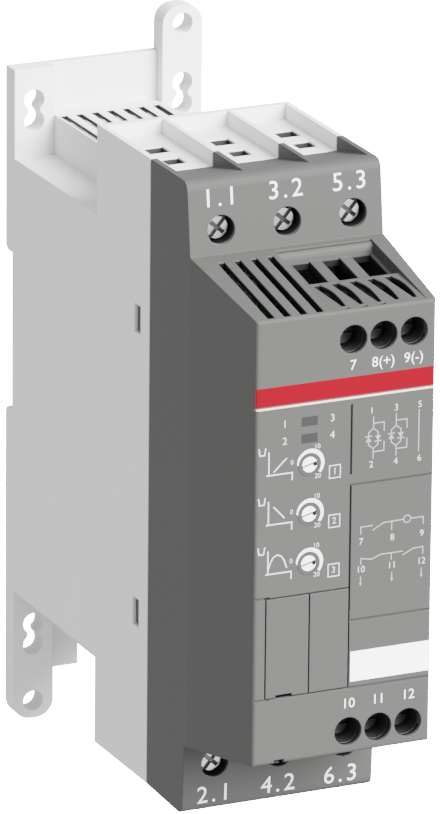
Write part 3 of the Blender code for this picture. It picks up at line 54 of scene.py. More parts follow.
# Camera: where the photograph was taken from
CAMERA_AZIMUTH = -24.84
CAMERA_ELEVATION = 18.469
CAMERA_ROLL = 0.547
CAMERA_AIM = (2.05, -60.19, 77.48)
CAMERA_DISTANCE = 1890.7
CAMERA_LENS = 386.2
CAMERA_SENSOR = 36.0

# Light
WORLD_LIGHT = 1.08
KEY_STRENGTH = 15.4
KEY_FROM = (2.9, -5.2, 3.7)
KEY_ANGLE = 50.0
FLOOR_DROP = 260.0
FLOOR_HALF = 4000.0
BACKDROP_LIGHT = 24.0

# Front panel
FRONT_HALF = 20.75
FRONT_ROUND = 0.8
PRINT_THICK = 0.05
PRINT_SINK = 0.02
LAYERS = 8
LAYER_STEP = 0.003
BAND_Z = (100.7, 104.8)
BAND_LINE_Z = (99.95, 100.4)
LABEL_X = (1.85, 20.5)
LABEL_Z = (36.9, 43.6)
LABEL_THICK = 0.16

# Terminal faces, as the lower and upper end of each in the side view
UPPER_FACE = ((-97.6, 125.1), (-95.7, 141.2))
LOWER_FACE = ((-95.8, -0.8), (-96.6, 15.3))
TERMINAL_X = (-15.1, 0.1, 15.0)
UPPER_MARK_Z = 137.1
LOWER_MARK_Z = 3.0
MARK_HEIGHT = 4.1
MARK_SPACING = 1.25

# Control terminals
CONTROL_X = (1.6, 8.6, 15.65)
UPPER_LABEL_Z = 107.3
LOWER_LABEL_Z = 32.0
CONTROL_MARK_HEIGHT = 2.3
# Black sleeves in the control bores, put in as painted shade
SHADE_SLEEVE_R = (3.08, 3.22)
SHADE_SLEEVE_OVERLAP = 1.0
SHADE_SLEEVE_SINK = 1.7
SHADE_SLEEVE_STEPS = 24

# Setting knobs
KNOB_X = -8.15
KNOB_TOP_Z = 86.7
KNOB_PITCH = 10.95
KNOB_FRONT_SINK = 0.5
ARC_INNER = 2.62
ARC_START_THICK = 0.3
ARC_END_THICK = 0.75
ARC_FROM = 180.0
ARC_TO = -40.0
ARC_LIFT = 0.25
ARC_GROWTH = 1.6
ARC_STEPS = 28
COLLAR_GAP = 0.01
DIAL_R = 1.72
DIAL_GAP = 0.08
DIAL_SLOT = 0.17
DIAL_TILT = 15.0
DIAL_SHADE_X = (-1.3, 0.7)
DIAL_SHADE_THICK = 0.04
DIAL_STEPS = 16
DOT_X = 1.25
DOT_R = 0.45

# Status windows
WINDOW_Z = (96.3, 92.55)
WINDOW_X = -8.3
WINDOW_SIZE = (3.7, 2.0)

# Small prints
SMALL_MARK = 1.7
SKETCH_MARK = 1.5
SCALE_MARK = 1.1
TEXT_SCALE = 1.37
STROKE = 0.32
CUP_STROKE = 0.3
THIN_STROKE = 0.25
BOX_STROKE = 0.24
BOX_X = (-3.6, -1.05)
GRAPH_LEFT = -17.6
GRAPH_RIGHT = -12.2
GRAPH_DROP = 1.2
GRAPH_HEIGHT = 5.0
RAMP_CURVES = (
    ((-16.4, 86.2), (-13.6, 88.8)),
    ((-16.3, 78.3), (-14.0, 75.8)),
    (
        (-17.5, 64.7),
        (-17.0, 66.2),
        (-16.3, 67.3),
        (-15.4, 67.7),
        (-14.5, 67.3),
        (-13.8, 66.2),
        (-13.3, 64.7),
    ),
)
POLE_SKETCH_X = (6.5, 11.8)
DOOR_MARK_X = (4.0, 11.3, 18.2)
ARROW_Z = 58.5

# Insides that the light doesn't reach, given a painted shade: each as its x and y ranges, then
# the height of its middle, its half height at the front, how much that grows for each mm towards the
# rear
REAR_INSIDES = (
    ((-12.3, 12.3), (-53.0, -5.9), 70.6, 59.28, 0.0),
    ((-20.9, 20.9), (-76.5, -53.0), 70.6, 66.9, 0.0),
)
FRONT_INSIDES = (
    ((-18.2, -4.5), (-126.4, -100.8), 70.2, 49.1, 0.186),
    ((-3.5, 18.6), (-126.4, -113.2), 70.2, 49.03, 0.132),
    ((-3.6, 18.7), (-99.9, -99.0), 70.2, 48.95, 0.186),
    ((-18.9, 18.9), (-125.2, -98.0), 70.2, 46.5, 0.186),
    ((-18.6, 18.9), (-96.3, -60.0), 130.25, 3.5, 0.0),
    ((-18.6, 18.9), (-95.7, -60.0), 10.3, 3.5, 0.0),
)
SCREW_MOUTH = 0.15
# Colours of the painted shade on the insides and on the power screws
LIGHT_SHADOW = (0.035, 0.035, 0.036)
DARK_SHADOW = (0.006, 0.006, 0.006)
SCREW_SHADOW = (0.16, 0.16, 0.165)


def place(x, y, z):
    """The frame's point, in metres, for a place on the housing in millimetres."""
    return Vector((x * MM, REAR + y * MM, BOTTOM + z * MM))


def node_tree(material):
    material.use_nodes = True
    nodes = material.node_tree.nodes
    return nodes, material.node_tree.links, nodes["Principled BSDF"]


class Sums:
    """Adds small sums on an object's own coordinates to a material, in millimetres."""

    def __init__(self, nodes, links):
        self.nodes = nodes
        self.links = links
        split = nodes.new("ShaderNodeSeparateXYZ")
        links.new(nodes.new("ShaderNodeTexCoord").outputs["Object"], split.inputs[0])
        origin = place(0, 0, 0)
        self.axes = []
        for axis in range(3):
            near = self.sum("SUBTRACT", split.outputs[axis], origin[axis])
            self.axes.append(self.sum("DIVIDE", near, MM))

    def sum(self, operation, *values):
        node = self.nodes.new("ShaderNodeMath")
        node.operation = operation
        for socket, value in zip(node.inputs, values):
            if isinstance(value, (int, float)):
                socket.default_value = value
            else:
                self.links.new(value, socket)
        return node.outputs["Value"]

    def between(self, value, span):
        over = self.sum("GREATER_THAN", value, span[0])
        return self.sum("MULTIPLY", over, self.sum("LESS_THAN", value, span[1]))

    def inside(self, span_x, span_y, middle, half, growth):
        x, y, z = self.axes
        reach = self.sum("MULTIPLY_ADD", self.sum("SUBTRACT", y, FRONT), growth, half)
        low = self.sum("LESS_THAN", self.sum("ABSOLUTE", self.sum("SUBTRACT", z, middle)), reach)
        flat = self.sum("MULTIPLY", self.between(x, span_x), self.between(y, span_y))
        return self.sum("MULTIPLY", flat, low)

    def any_inside(self, regions):
        found = 0.0
        for region in regions:
            found = self.sum("MAXIMUM", self.inside(*region), found)
        return found


def darken(material, regions, dark):
    """Paints the surfaces inside the regions a dark colour: painted shade, as insides in shadow have.
    """
    nodes, links, shader = node_tree(material)
    mask = Sums(nodes, links).any_inside(regions)
    base = shader.inputs["Base Color"]
    mix = nodes.new("ShaderNodeMixRGB")
    if base.is_linked:
        links.new(base.links[0].from_socket, mix.inputs["Color1"])
    else:
        mix.inputs["Color1"].default_value = base.default_value
    mix.inputs["Color2"].default_value = (*dark, 1.0)
    links.new(mask, mix.inputs["Fac"])
    links.new(mix.outputs["Color"], base)


def plastic(name, colour, roughness, grain=0.03, edge=0.35, specular=0.5):
    """Moulded plastic: a fine eroded texture, faint mottling and softly rounded edges."""
    material = bpy.data.materials.new(name)
    nodes, links, shader = node_tree(material)
    shader.inputs["Specular IOR Level"].default_value = specular
    place_in = nodes.new("ShaderNodeTexCoord").outputs["Object"]
    mottle = nodes.new("ShaderNodeTexNoise")
    mottle.inputs["Scale"].default_value = 38.0
    mottle.inputs["Detail"].default_value = 4.0
    links.new(place_in, mottle.inputs["Vector"])
    tint = nodes.new("ShaderNodeMixRGB")
    tint.inputs["Color1"].default_value = (*(c * 0.975 for c in colour), 1.0)
    tint.inputs["Color2"].default_value = (*(min(c * 1.025, 1.0) for c in colour), 1.0)
    links.new(mottle.outputs["Fac"], tint.inputs["Fac"])
    links.new(tint.outputs["Color"], shader.inputs["Base Color"])
    fine = nodes.new("ShaderNodeTexNoise")
    fine.inputs["Scale"].default_value = 2600.0
    fine.inputs["Detail"].default_value = 3.0
    links.new(place_in, fine.inputs["Vector"])
    rough = nodes.new("ShaderNodeMapRange")
    rough.inputs["To Min"].default_value = roughness - 0.05
    rough.inputs["To Max"].default_value = roughness + 0.07
    links.new(fine.outputs["Fac"], rough.inputs["Value"])
    links.new(rough.outputs["Result"], shader.inputs["Roughness"])
    bump = nodes.new("ShaderNodeBump")
    bump.inputs["Strength"].default_value = 0.35
    bump.inputs["Distance"].default_value = grain * MM
    links.new(fine.outputs["Fac"], bump.inputs["Height"])
    if edge:
        bevel = nodes.new("ShaderNodeBevel")
        bevel.samples = 6
        bevel.inputs["Radius"].default_value = edge * MM
        links.new(bevel.outputs["Normal"], bump.inputs["Normal"])
    links.new(bump.outputs["Normal"], shader.inputs["Normal"])
    return material


def metal(name, colour, roughness, scratch=0.12, edge=0.12):
    """Plated or extruded metal with fine scratches that vary its gloss."""
    material = bpy.data.materials.new(name)
    nodes, links, shader = node_tree(material)
    shader.inputs["Base Color"].default_value = (*colour, 1.0)
    shader.inputs["Metallic"].default_value = 1.0
    place_in = nodes.new("ShaderNodeTexCoord").outputs["Object"]
    noise = nodes.new("ShaderNodeTexNoise")
    noise.inputs["Scale"].default_value = 900.0
    noise.inputs["Detail"].default_value = 5.0
    links.new(place_in, noise.inputs["Vector"])
    rough = nodes.new("ShaderNodeMapRange")
    rough.inputs["To Min"].default_value = max(roughness - scratch, 0.05)
    rough.inputs["To Max"].default_value = roughness + scratch
    links.new(noise.outputs["Fac"], rough.inputs["Value"])
    links.new(rough.outputs["Result"], shader.inputs["Roughness"])
    bevel = nodes.new("ShaderNodeBevel")
    bevel.samples = 4
    bevel.inputs["Radius"].default_value = edge * MM
    bump = nodes.new("ShaderNodeBump")
    bump.inputs["Strength"].default_value = 0.2
    bump.inputs["Distance"].default_value = 0.02 * MM
    links.new(noise.outputs["Fac"], bump.inputs["Height"])
    links.new(bevel.outputs["Normal"], bump.inputs["Normal"])
    links.new(bump.outputs["Normal"], shader.inputs["Normal"])
    return material


def ink_or_shade(name, colour, roughness=0.55):
    """Print, a sticker or a painted shade: a faint unevenness and no rounded edge."""
    return plastic(name, colour, roughness, grain=0.008, edge=0, specular=0.05)


def board_coating(name, colour):
    """Green solder mask with darker tracks under it."""
    material = bpy.data.materials.new(name)
    nodes, links, shader = node_tree(material)
    shader.inputs["Roughness"].default_value = 0.35
    place_in = nodes.new("ShaderNodeTexCoord").outputs["Object"]
    tracks = nodes.new("ShaderNodeTexBrick")
    tracks.inputs["Scale"].default_value = 260.0
    tracks.inputs["Mortar Size"].default_value = 0.06
    tracks.inputs["Color1"].default_value = (*colour, 1.0)
    tracks.inputs["Color2"].default_value = (*(c * 0.8 for c in colour), 1.0)
    tracks.inputs["Mortar"].default_value = (*(c * 1.8 for c in colour), 1.0)
    links.new(place_in, tracks.inputs["Vector"])
    links.new(tracks.outputs["Color"], shader.inputs["Base Color"])
    return material


LIGHT = plastic("light_grey_moulding", (0.66, 0.66, 0.67), 0.55, specular=0.2)
DARK = plastic("dark_grey_moulding", (0.06, 0.06, 0.0587), 0.56, specular=0.1)
BLACK = plastic("black_moulding", (0.012, 0.012, 0.012), 0.42, edge=0.15)
WHITE = plastic("white_moulding", (0.78, 0.78, 0.76), 0.4, edge=0.15)
SMOKED = plastic("smoked_window", (0.028, 0.029, 0.028), 0.4, edge=0, specular=0.1)
KNOB_RIM = plastic("knob_rim", (0.07, 0.07, 0.07), 0.5, edge=0, specular=0.1)
COLLAR = plastic("dial_collar", (0.055, 0.055, 0.054), 0.56, edge=0, specular=0.1)
ALUMINIUM = metal("extruded_aluminium", (0.62, 0.63, 0.64), 0.35)
ZINC = metal("zinc_plating", (0.55, 0.55, 0.57), 0.24)
TOP_SCREW = metal("zinc_screw_top", (0.8, 0.8, 0.83), 0.2)
BOTTOM_SCREW = metal("zinc_screw_bottom", (0.8, 0.8, 0.83), 0.2)
DARK_STEEL = metal("dark_passivation", (0.05, 0.05, 0.05), 0.38)
TINNED = metal("tinned_copper_strip", (0.7, 0.66, 0.6), 0.3)
BOARD = board_coating("green_board", (0.02, 0.12, 0.05))
RED_INK = ink_or_shade("red_ink", (0.225, 0.0055, 0.008))
PALE_INK = ink_or_shade("pale_ink", (0.62, 0.46, 0.42))
WHITE_INK = ink_or_shade("white_ink", (0.66, 0.66, 0.65))
GREY_INK = ink_or_shade("thin_white_ink", (0.42, 0.42, 0.415))
FAINT_INK = ink_or_shade("faint_ink", (0.24, 0.24, 0.237))
PAPER = ink_or_shade("white_label", (0.92, 0.92, 0.92), 0.5)
DOT_INK = ink_or_shade("black_ink", (0.01, 0.01, 0.01))
# A painted shade for the groove of each knob's slot
PAINTED_SLOT_SHADE = ink_or_shade("slot_shade", (0.13, 0.13, 0.13))

FINISHES = (
    ("rear_housing", LIGHT),
    ("din_latch", LIGHT),
    ("front_cover", DARK),
    ("connector_cover", DARK),
    ("heat_sink", ALUMINIUM),
    ("latch_spring", ZINC),
    ("power_clamp", ZINC),
    ("power_screw_top", TOP_SCREW),
    ("power_screw_bottom", BOTTOM_SCREW),
    ("control_clamp", ZINC),
    ("control_screw", DARK_STEEL),
    ("control_contact", TINNED),
    ("busbar", TINNED),
    ("pot_knob", KNOB_RIM),
    ("light_guide", SMOKED),
    ("power_board", BOARD),
    ("control_board", BOARD),
)


def darken_insides():
    darken(LIGHT, REAR_INSIDES, LIGHT_SHADOW)
    darken(DARK, FRONT_INSIDES, DARK_SHADOW)
    # Painted shade on each power screw from just behind the front of its head, inwards
    screws = ((TOP_SCREW, "power_screw_top_1"), (BOTTOM_SCREW, "power_screw_bottom_1"))
    for material, screw in screws:
        low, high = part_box(screw)
        head = (low[1] - REAR) / MM + SCREW_MOUTH
        middle = ((low[2] + high[2]) / 2 - BOTTOM) / MM
        region = ((-HEIGHT, HEIGHT), (head, 0.0), middle, MARK_HEIGHT * 2, 0.0)
        darken(material, (region,), SCREW_SHADOW)


def finish_nodes():
    for name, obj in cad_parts.items():
        chosen = BLACK
        for start, material in FINISHES:
            if name.startswith(start):
                chosen = material
        for slot in obj.material_slots:
            slot.material = chosen


class Face:
    """A flat face that prints lie on: its axes, and the point for an x and a height."""

    def __init__(self, low, high):
        self.low = low
        self.slope = (high[0] - low[0]) / (high[1] - low[1])
        up = Vector((0, self.slope, 1)).normalized()
        self.axes = Matrix((Vector((1, 0, 0)), up, Vector((1, 0, 0)).cross(up))).transposed()

    def point(self, x, z):
        return place(x, self.low[0] + (z - self.low[1]) * self.slope, z)

    def matrix(self, x, z, lift=0.0):
        normal = self.axes.col[2]
        return Matrix.Translation(self.point(x, z) + normal * lift * MM) @ self.axes.to_4x4()


PANEL = Face((FRONT, 0.0), (FRONT, HEIGHT))
UPPER = Face(*UPPER_FACE)
LOWER = Face(*LOWER_FACE)


def solid(name, outlines, face, thick, material, origin=(0.0, 0.0), body=BODY, sink=PRINT_SINK):
    """Flat shapes on a face, with a thickness, from outlines of (across, up) points.

    Each is a hair thicker than the one before, so lines that cross share no plane.
    """
    shape = bmesh.new()
    for number, outline in enumerate(outlines):
        top = thick - sink + number % LAYERS * LAYER_STEP
        low = [shape.verts.new((u * MM, v * MM, -sink * MM)) for u, v in outline]
        high = [shape.verts.new((u * MM, v * MM, top * MM)) for u, v in outline]
        count = len(outline)
        shape.faces.new(high)
        shape.faces.new(list(reversed(low)))
        for i in range(count):
            j = (i + 1) % count
            shape.faces.new((low[i], low[j], high[j], high[i]))
    bmesh.ops.recalc_face_normals(shape, faces=shape.faces)
    mesh = bpy.data.meshes.new(name)
    shape.to_mesh(mesh)
    shape.free()
    mesh.transform(face.matrix(*origin))
    return dress(name, mesh, material, body)


def dress(name, mesh, material, body=BODY):
    mesh.materials.clear()
    mesh.materials.append(material)
    obj = bpy.data.objects.new(name, mesh)
    bpy.context.scene.collection.objects.link(obj)
    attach(obj, body)
    return obj


def stroke(points, width=STROKE):
    """The outline of a drawn line, mitred at its corners; a loop ends where it starts."""
    points = [Vector(point) for point in points]
    last = len(points) - 1
    loop = (points[0] - points[last]).length < 1e-6
    runs = [(b - a).normalized() for a, b in zip(points, points[1:])]
    left, right = [], []
    for i, point in enumerate(points):
        before = runs[i - 1] if i or loop else runs[0]
        after = runs[i] if i < last else runs[0 if loop else last - 1]
        along = (before + after).normalized()
        side = Vector((-along.y, along.x)) * width / 2 / max(along.dot(after), 0.4)
        if not loop and i in (0, last):
            point = point + along * (width / 2 if i else -width / 2)
        left.append(tuple(point + side))
        right.append(tuple(point - side))
    return [left + right[::-1]]


def thin(points):
    """The outline of a fine line."""
    return stroke(points, THIN_STROKE)


def arc(x, z, radius, start, end, steps=10):
    return [
        (
            x + radius * math.cos(math.radians(start + (end - start) * i / steps)),
            z + radius * math.sin(math.radians(start + (end - start) * i / steps)),
        )
        for i in range(steps + 1)
    ]


def ring_pieces(x, z, inner, outer, steps):
    """The pieces of a flat ring, each a part of its turn."""
    near, far = arc(x, z, inner, 0, 360, steps), arc(x, z, outer, 0, 360, steps)
    return [[near[i], far[i], far[i + 1], near[i + 1]] for i in range(steps)]


def lettering(name, marks, face, material):
    """One mesh of several marks, each a text with its centre and height on the face."""
    shape = bmesh.new()
    for body, x, z, height in marks:
        curve = bpy.data.curves.new(name, "FONT")
        curve.body = body
        curve.align_x = "CENTER"
        curve.align_y = "CENTER"
        curve.size = height * TEXT_SCALE * MM
        curve.space_character = MARK_SPACING if height == MARK_HEIGHT else 1.0
        curve.extrude = PRINT_THICK / 2 * MM
        curve.resolution_u = 3
        helper = bpy.data.objects.new(name, curve)
        bpy.context.scene.collection.objects.link(helper)
        graph = bpy.context.evaluated_depsgraph_get()
        mesh = bpy.data.meshes.new_from_object(helper.evaluated_get(graph))
        bpy.data.objects.remove(helper)
        mesh.transform(face.matrix(x, z, PRINT_THICK / 2 - PRINT_SINK))
        shape.from_mesh(mesh)
        bpy.data.meshes.remove(mesh)
    bmesh.ops.remove_doubles(shape, verts=shape.verts, dist=1e-8)
    mesh = bpy.data.meshes.new(name)
    shape.to_mesh(mesh)
    shape.free()
    return dress(name, mesh, material)


def rectangle(x, z):
    return [(x[0], z[0]), (x[1], z[0]), (x[1], z[1]), (x[0], z[1])]


def make_bands():
    """The red band and its pale line, which run over the rounded side edges of the panel."""
    flat = FRONT_HALF - FRONT_ROUND
    bands = (("red_band", BAND_Z, RED_INK), ("band_line", BAND_LINE_Z, PALE_INK))
    for name, heights, material in bands:
        shape = bmesh.new()
        rails = []
        for inset in (-PRINT_SINK, PRINT_THICK - PRINT_SINK):
            radius = FRONT_ROUND + inset
            path = []
            for degrees in (80, 60, 40, 20, 0):
                angle = math.radians(degrees)
                across = flat + radius * math.sin(angle)
                path.append((across, FRONT + FRONT_ROUND - radius * math.cos(angle)))
            path += [(-x, y) for x, y in reversed(path)]
            rails.append(path)
        ring = rails[0] + list(reversed(rails[1]))
        low = [shape.verts.new(place(x, y, heights[0])) for x, y in ring]
        high = [shape.verts.new(place(x, y, heights[1])) for x, y in ring]
        count = len(ring)
        for i in range(count):
            j = (i + 1) % count
            shape.faces.new((low[i], low[j], high[j], high[i]))
        half = count // 2
        for i in range(half - 1):
            near, far = i, count - 1 - i
            shape.faces.new((low[near], low[far], low[far - 1], low[near + 1]))
            shape.faces.new((high[near], high[near + 1], high[far - 1], high[far]))
        bmesh.ops.recalc_face_normals(shape, faces=shape.faces)
        mesh = bpy.data.meshes.new(name)
        shape.to_mesh(mesh)
        shape.free()
        dress(name, mesh, material)


def make_label():
    """The blank label, square at its corners."""
    solid("name_label", [rectangle(LABEL_X, LABEL_Z)], PANEL, LABEL_THICK, PAPER)


def make_windows():
    """A dark film over each status window, which hides the gap round the light guide."""
    wide, high = (size / 2 for size in WINDOW_SIZE)
    films = [
        rectangle((WINDOW_X - wide, WINDOW_X + wide), (z - high, z + high)) for z in WINDOW_Z
    ]
    solid("window_films", films, PANEL, PRINT_THICK, SMOKED)


def knob_zs():
    return [KNOB_TOP_Z - i * KNOB_PITCH for i in range(3)]


def scale_pieces(z):
    """The pieces of one scale arc, which widens clockwise."""
    pieces = []
    for i in range(ARC_STEPS):
        piece = []
        for j, outer in ((i, False), (i + 1, False), (i + 1, True), (i, True)):
            share = j / ARC_STEPS
            angle = math.radians(ARC_FROM + (ARC_TO - ARC_FROM) * share)
            growth = min(1.0, share * ARC_GROWTH)
            thick = ARC_START_THICK + (ARC_END_THICK - ARC_START_THICK) * growth
            radius = ARC_INNER + (thick if outer else 0)
            across = radius * math.cos(angle)
            up = radius * math.sin(angle) + (ARC_LIFT if outer else 0)
            piece.append((KNOB_X + across, z + up))
        pieces.append(piece)
    return pieces


def make_scales():
    """A flat collar and a scale arc round each knob."""
    arcs, collars = [], []
    for z in knob_zs():
        collars += ring_pieces(KNOB_X, z, DIAL_R + DIAL_GAP, ARC_INNER - COLLAR_GAP, ARC_STEPS)
        arcs += scale_pieces(z)
    solid("dial_collars", collars, PANEL, PRINT_SINK, COLLAR)
    scales = solid("dial_scales", arcs, PANEL, PRINT_THICK, WHITE_INK)
    welded = bmesh.new()
    welded.from_mesh(scales.data)
    bmesh.ops.remove_doubles(welded, verts=welded.verts, dist=1e-7)
    welded.to_mesh(scales.data)
    welded.free()


def make_knob_faces():
    """The slotted white face, the dot and a painted shade in the slot on each knob, which turn with
    it.
    """
    top = Face((FRONT + KNOB_FRONT_SINK, 0.0), (FRONT + KNOB_FRONT_SINK, HEIGHT))
    edge = math.degrees(math.asin(DIAL_SLOT / DIAL_R))
    halves = [
        arc(0, 0, DIAL_R, start + edge, start + 180 - edge, DIAL_STEPS)
        for start in (DIAL_TILT, DIAL_TILT + 180)
    ]
    dot = arc(DOT_X, 0, DOT_R, 0, 330, 11)
    tilt = math.radians(DIAL_TILT)
    ends = [(reach * math.cos(tilt), reach * math.sin(tilt)) for reach in DIAL_SHADE_X]
    shade = stroke(ends, DIAL_SLOT * 2)
    for number, z in enumerate(knob_zs(), 1):
        knob, spot = f"pot_knob_{number}", (KNOB_X, z)
        solid(f"dial_face_{number}", halves, top, KNOB_FRONT_SINK, WHITE, spot, knob)
        solid(f"dial_dot_{number}", [dot], PANEL, PRINT_THICK, DOT_INK, spot, knob)
        solid(f"dial_slot_shade_{number}", shade, PANEL, DIAL_SHADE_THICK, PAINTED_SLOT_SHADE, spot, knob)


def make_bore_shade_sleeves():
    """Black sleeves in the control bores between cover and screw: painted shade, keeping light out.
    """
    pieces = []
    for row in ("upper", "lower"):
        for number, x in enumerate(CONTROL_X, 1):
            low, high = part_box(f"control_screw_{row}_{number}")
            z = ((low[2] + high[2]) / 2 - BOTTOM) / MM
            pieces += ring_pieces(x, z, SHADE_SLEEVE_R[0], SHADE_SLEEVE_R[1], SHADE_SLEEVE_STEPS)
    back = (low[1] - REAR) / MM + SHADE_SLEEVE_OVERLAP
    length = back - FRONT - SHADE_SLEEVE_SINK
    solid("bore_shade_sleeves", pieces, Face((back, 0.0), (back, HEIGHT)), length, BLACK, sink=0.0)


def make_ramps():
    """A plain ramp graph, a cup mark and a framed box beside each knob."""
    lines = []
    for z, curve in zip(knob_zs(), RAMP_CURVES):
        base = z - GRAPH_DROP
        lines += stroke([(GRAPH_LEFT, base + GRAPH_HEIGHT), (GRAPH_LEFT, base)])
        lines += stroke([(GRAPH_LEFT - 0.4, base), (GRAPH_RIGHT, base), (GRAPH_RIGHT, base - 1.5)])
        lines += stroke(curve)
        low, high = base + 4.6, base + 6.0
        lines += stroke([(-19.9, high), (-19.7, low), (-18.6, low), (-18.4, high)], CUP_STROKE)
        box = rectangle(BOX_X, (z - 3.65, z - 0.9))
        lines += stroke(box + box[:1], BOX_STROKE)
    solid("ramp_symbols", lines, PANEL, PRINT_THICK, GREY_INK)


def pole_sketch(x):
    """One switched phase: two opposed valve marks side by side, and a tap past them."""
    left, right, tap = x - 1.1, x + 1.1, x + 2.5
    shapes = thin([(x, 95.3), (x, 92.8), (left, 91.9), (left, 89.2), (x, 88.3), (x, 86.2)])
    shapes += thin([(x, 92.8), (right, 91.9), (right, 89.2), (x, 88.3)])
    shapes += thin([(x, 93.9), (tap, 93.9), (tap, 92.0)])
    shapes += thin([(tap, 89.6), (tap, 87.6), (x, 87.6)])
    for middle, tip in ((left, 0.6), (right, -0.6)):
        low, high = 90.5 - tip, 90.5 + tip
        shapes.append([(middle - 0.7, low), (middle + 0.7, low), (middle, high)])
        shapes += thin([(middle - 0.7, high), (middle + 0.7, high)])
    return shapes


def make_circuits():
    """Two plain circuit sketches: the three phases, and the control side with its arrows."""
    sketch = []
    for x in POLE_SKETCH_X:
        sketch += pole_sketch(x)
    sketch += thin([(17.1, 95.5), (17.1, 86.4)])
    sketch += thin([(3.9, 69.7), (3.9, 71.2), (6.6, 71.2)])
    sketch += thin([(6.8, 70.2), (9.2, 71.5), (13.8, 71.6)])
    sketch += thin([(11.1, 71.5), (11.1, 69.7)])
    sketch += thin(arc(14.7, 71.6, 0.85, 0, 360, 10))
    sketch += thin([(15.6, 71.6), (18.5, 71.6), (18.5, 70.1)])
    sketch += thin([(4.0, 62.9), (4.0, 64.2), (6.4, 63.7), (8.6, 64.5), (13.7, 64.5)])
    sketch += thin([(11.1, 64.5), (11.1, 63.1)])
    sketch += thin([(13.9, 63.7), (16.2, 64.8), (18.5, 64.9), (18.5, 63.4)])
    for x in DOOR_MARK_X:
        sketch += thin([(x, ARROW_Z + 1.6), (x, ARROW_Z)])
        sketch.append([(x - 0.35, ARROW_Z + 0.3), (x, ARROW_Z - 0.5), (x + 0.35, ARROW_Z + 0.3)])
    solid("circuit_symbols", sketch, PANEL, PRINT_THICK, FAINT_INK)


def make_numbers():
    tops = [("1.1", "3.2", "5.3"), ("2.1", "4.2", "6.3")]
    for name, face, texts, z in (
        ("terminal_numbers_top", UPPER, tops[0], UPPER_MARK_Z),
        ("terminal_numbers_bottom", LOWER, tops[1], LOWER_MARK_Z),
    ):
        marks = [(text, x, z, MARK_HEIGHT) for text, x in zip(texts, TERMINAL_X)]
        lettering(name, marks, face, WHITE_INK)
    marks = []
    for texts, z in ((("7", "8(+)", "9(-)"), UPPER_LABEL_Z), (("10", "11", "12"), LOWER_LABEL_Z)):
        marks += [(text, x, z, CONTROL_MARK_HEIGHT) for text, x in zip(texts, CONTROL_X)]
    lettering("control_numbers", marks, PANEL, WHITE_INK)
    marks = []
    for left, right, z in (("1", "3", WINDOW_Z[0]), ("2", "4", WINDOW_Z[1])):
        marks += [(left, -14.0, z, SMALL_MARK), (right, -3.0, z, SMALL_MARK)]
    for z, number in zip(knob_zs(), ("1", "2", "3")):
        marks += [("0", KNOB_X - 4.1, z + 1.0, SCALE_MARK), ("10", KNOB_X + 1.7, z + 3.8, SCALE_MARK)]
        marks += [("20", KNOB_X + 1.9, z - 2.7, SCALE_MARK), (number, -2.33, z - 2.25, SKETCH_MARK)]
    for x, top, bottom in ((6.1, "1", "2"), (11.8, "3", "4"), (17.3, "5", "6")):
        marks += [(top, x, 96.7, SKETCH_MARK), (bottom, x, 84.8, SKETCH_MARK)]
    for x, upper, lower in zip(DOOR_MARK_X, ("7", "8", "9"), ("10", "11", "12")):
        marks += [(upper, x, 67.9, SKETCH_MARK), (lower, x, 61.7, SKETCH_MARK)]
    lettering("small_numbers", marks, PANEL, GREY_INK)


def make_camera():
    azimuth, elevation = math.radians(CAMERA_AZIMUTH), math.radians(CAMERA_ELEVATION)
    back = Vector(
        (
            math.sin(azimuth) * math.cos(elevation),
            -math.cos(azimuth) * math.cos(elevation),
            math.sin(elevation),
        )
    )
    data = bpy.data.cameras.new("camera")
    data.lens = CAMERA_LENS
    data.sensor_width = CAMERA_SENSOR
    data.clip_end = 50.0
    camera = bpy.data.objects.new("camera", data)
    turn = back.to_track_quat("Z", "Y").to_matrix().to_4x4()
    roll = Matrix.Rotation(math.radians(CAMERA_ROLL), 4, "Z")
    spot = place(*CAMERA_AIM) + back * CAMERA_DISTANCE * MM
    camera.matrix_world = Matrix.Translation(spot) @ turn @ roll
    bpy.context.scene.collection.objects.link(camera)
    bpy.context.scene.camera = camera


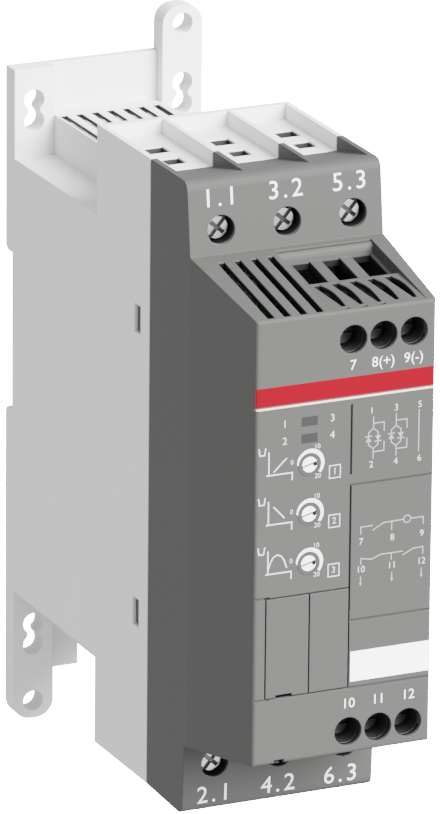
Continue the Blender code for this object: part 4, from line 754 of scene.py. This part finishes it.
def make_light():
    scene = bpy.context.scene
    scene.view_settings.view_transform = "Filmic"
    world = bpy.data.worlds.new("studio")
    world.use_nodes = True
    nodes, links = world.node_tree.nodes, world.node_tree.links
    light = nodes["Background"]
    light.inputs["Color"].default_value = (1, 1, 1, 1)
    light.inputs["Strength"].default_value = WORLD_LIGHT
    sky = nodes.new("ShaderNodeBackground")
    sky.inputs["Color"].default_value = (1, 1, 1, 1)
    sky.inputs["Strength"].default_value = BACKDROP_LIGHT
    mix = nodes.new("ShaderNodeMixShader")
    links.new(nodes.new("ShaderNodeLightPath").outputs["Is Camera Ray"], mix.inputs["Fac"])
    links.new(light.outputs["Background"], mix.inputs[1])
    links.new(sky.outputs["Background"], mix.inputs[2])
    links.new(mix.outputs["Shader"], nodes["World Output"].inputs["Surface"])
    scene.world = world
    key = bpy.data.lights.new("key", "SUN")
    key.energy = KEY_STRENGTH
    key.angle = math.radians(KEY_ANGLE)
    lamp = bpy.data.objects.new("key", key)
    lamp.matrix_world = Vector(KEY_FROM).to_track_quat("Z", "Y").to_matrix().to_4x4()
    scene.collection.objects.link(lamp)


def make_floor():
    """A plain white floor well below the device, which hangs on its rail in use.

    Only the camera sees its glow, so it puts no light on the device.
    """
    half = FLOOR_HALF * MM
    shape = bmesh.new()
    bmesh.ops.create_grid(shape, x_segments=1, y_segments=1, size=half)
    mesh = bpy.data.meshes.new("floor")
    shape.to_mesh(mesh)
    shape.free()
    material = bpy.data.materials.new("white_floor")
    material.use_nodes = True
    nodes = material.node_tree.nodes
    glow = nodes.new("ShaderNodeEmission")
    glow.inputs["Strength"].default_value = BACKDROP_LIGHT
    material.node_tree.links.new(glow.outputs["Emission"], nodes["Material Output"].inputs["Surface"])
    mesh.materials.append(material)
    floor = bpy.data.objects.new("floor", mesh)
    floor.location = place(0, 0, -FLOOR_DROP)
    floor.visible_diffuse = False
    floor.visible_glossy = False
    floor.visible_transmission = False
    floor.visible_shadow = False
    bpy.context.scene.collection.objects.link(floor)


make_camera()
make_light()
make_floor()
finish_nodes()
darken_insides()
make_bands()
make_label()
make_windows()
make_scales()
make_knob_faces()
make_bore_shade_sleeves()
make_ramps()
make_circuits()
make_numbers()
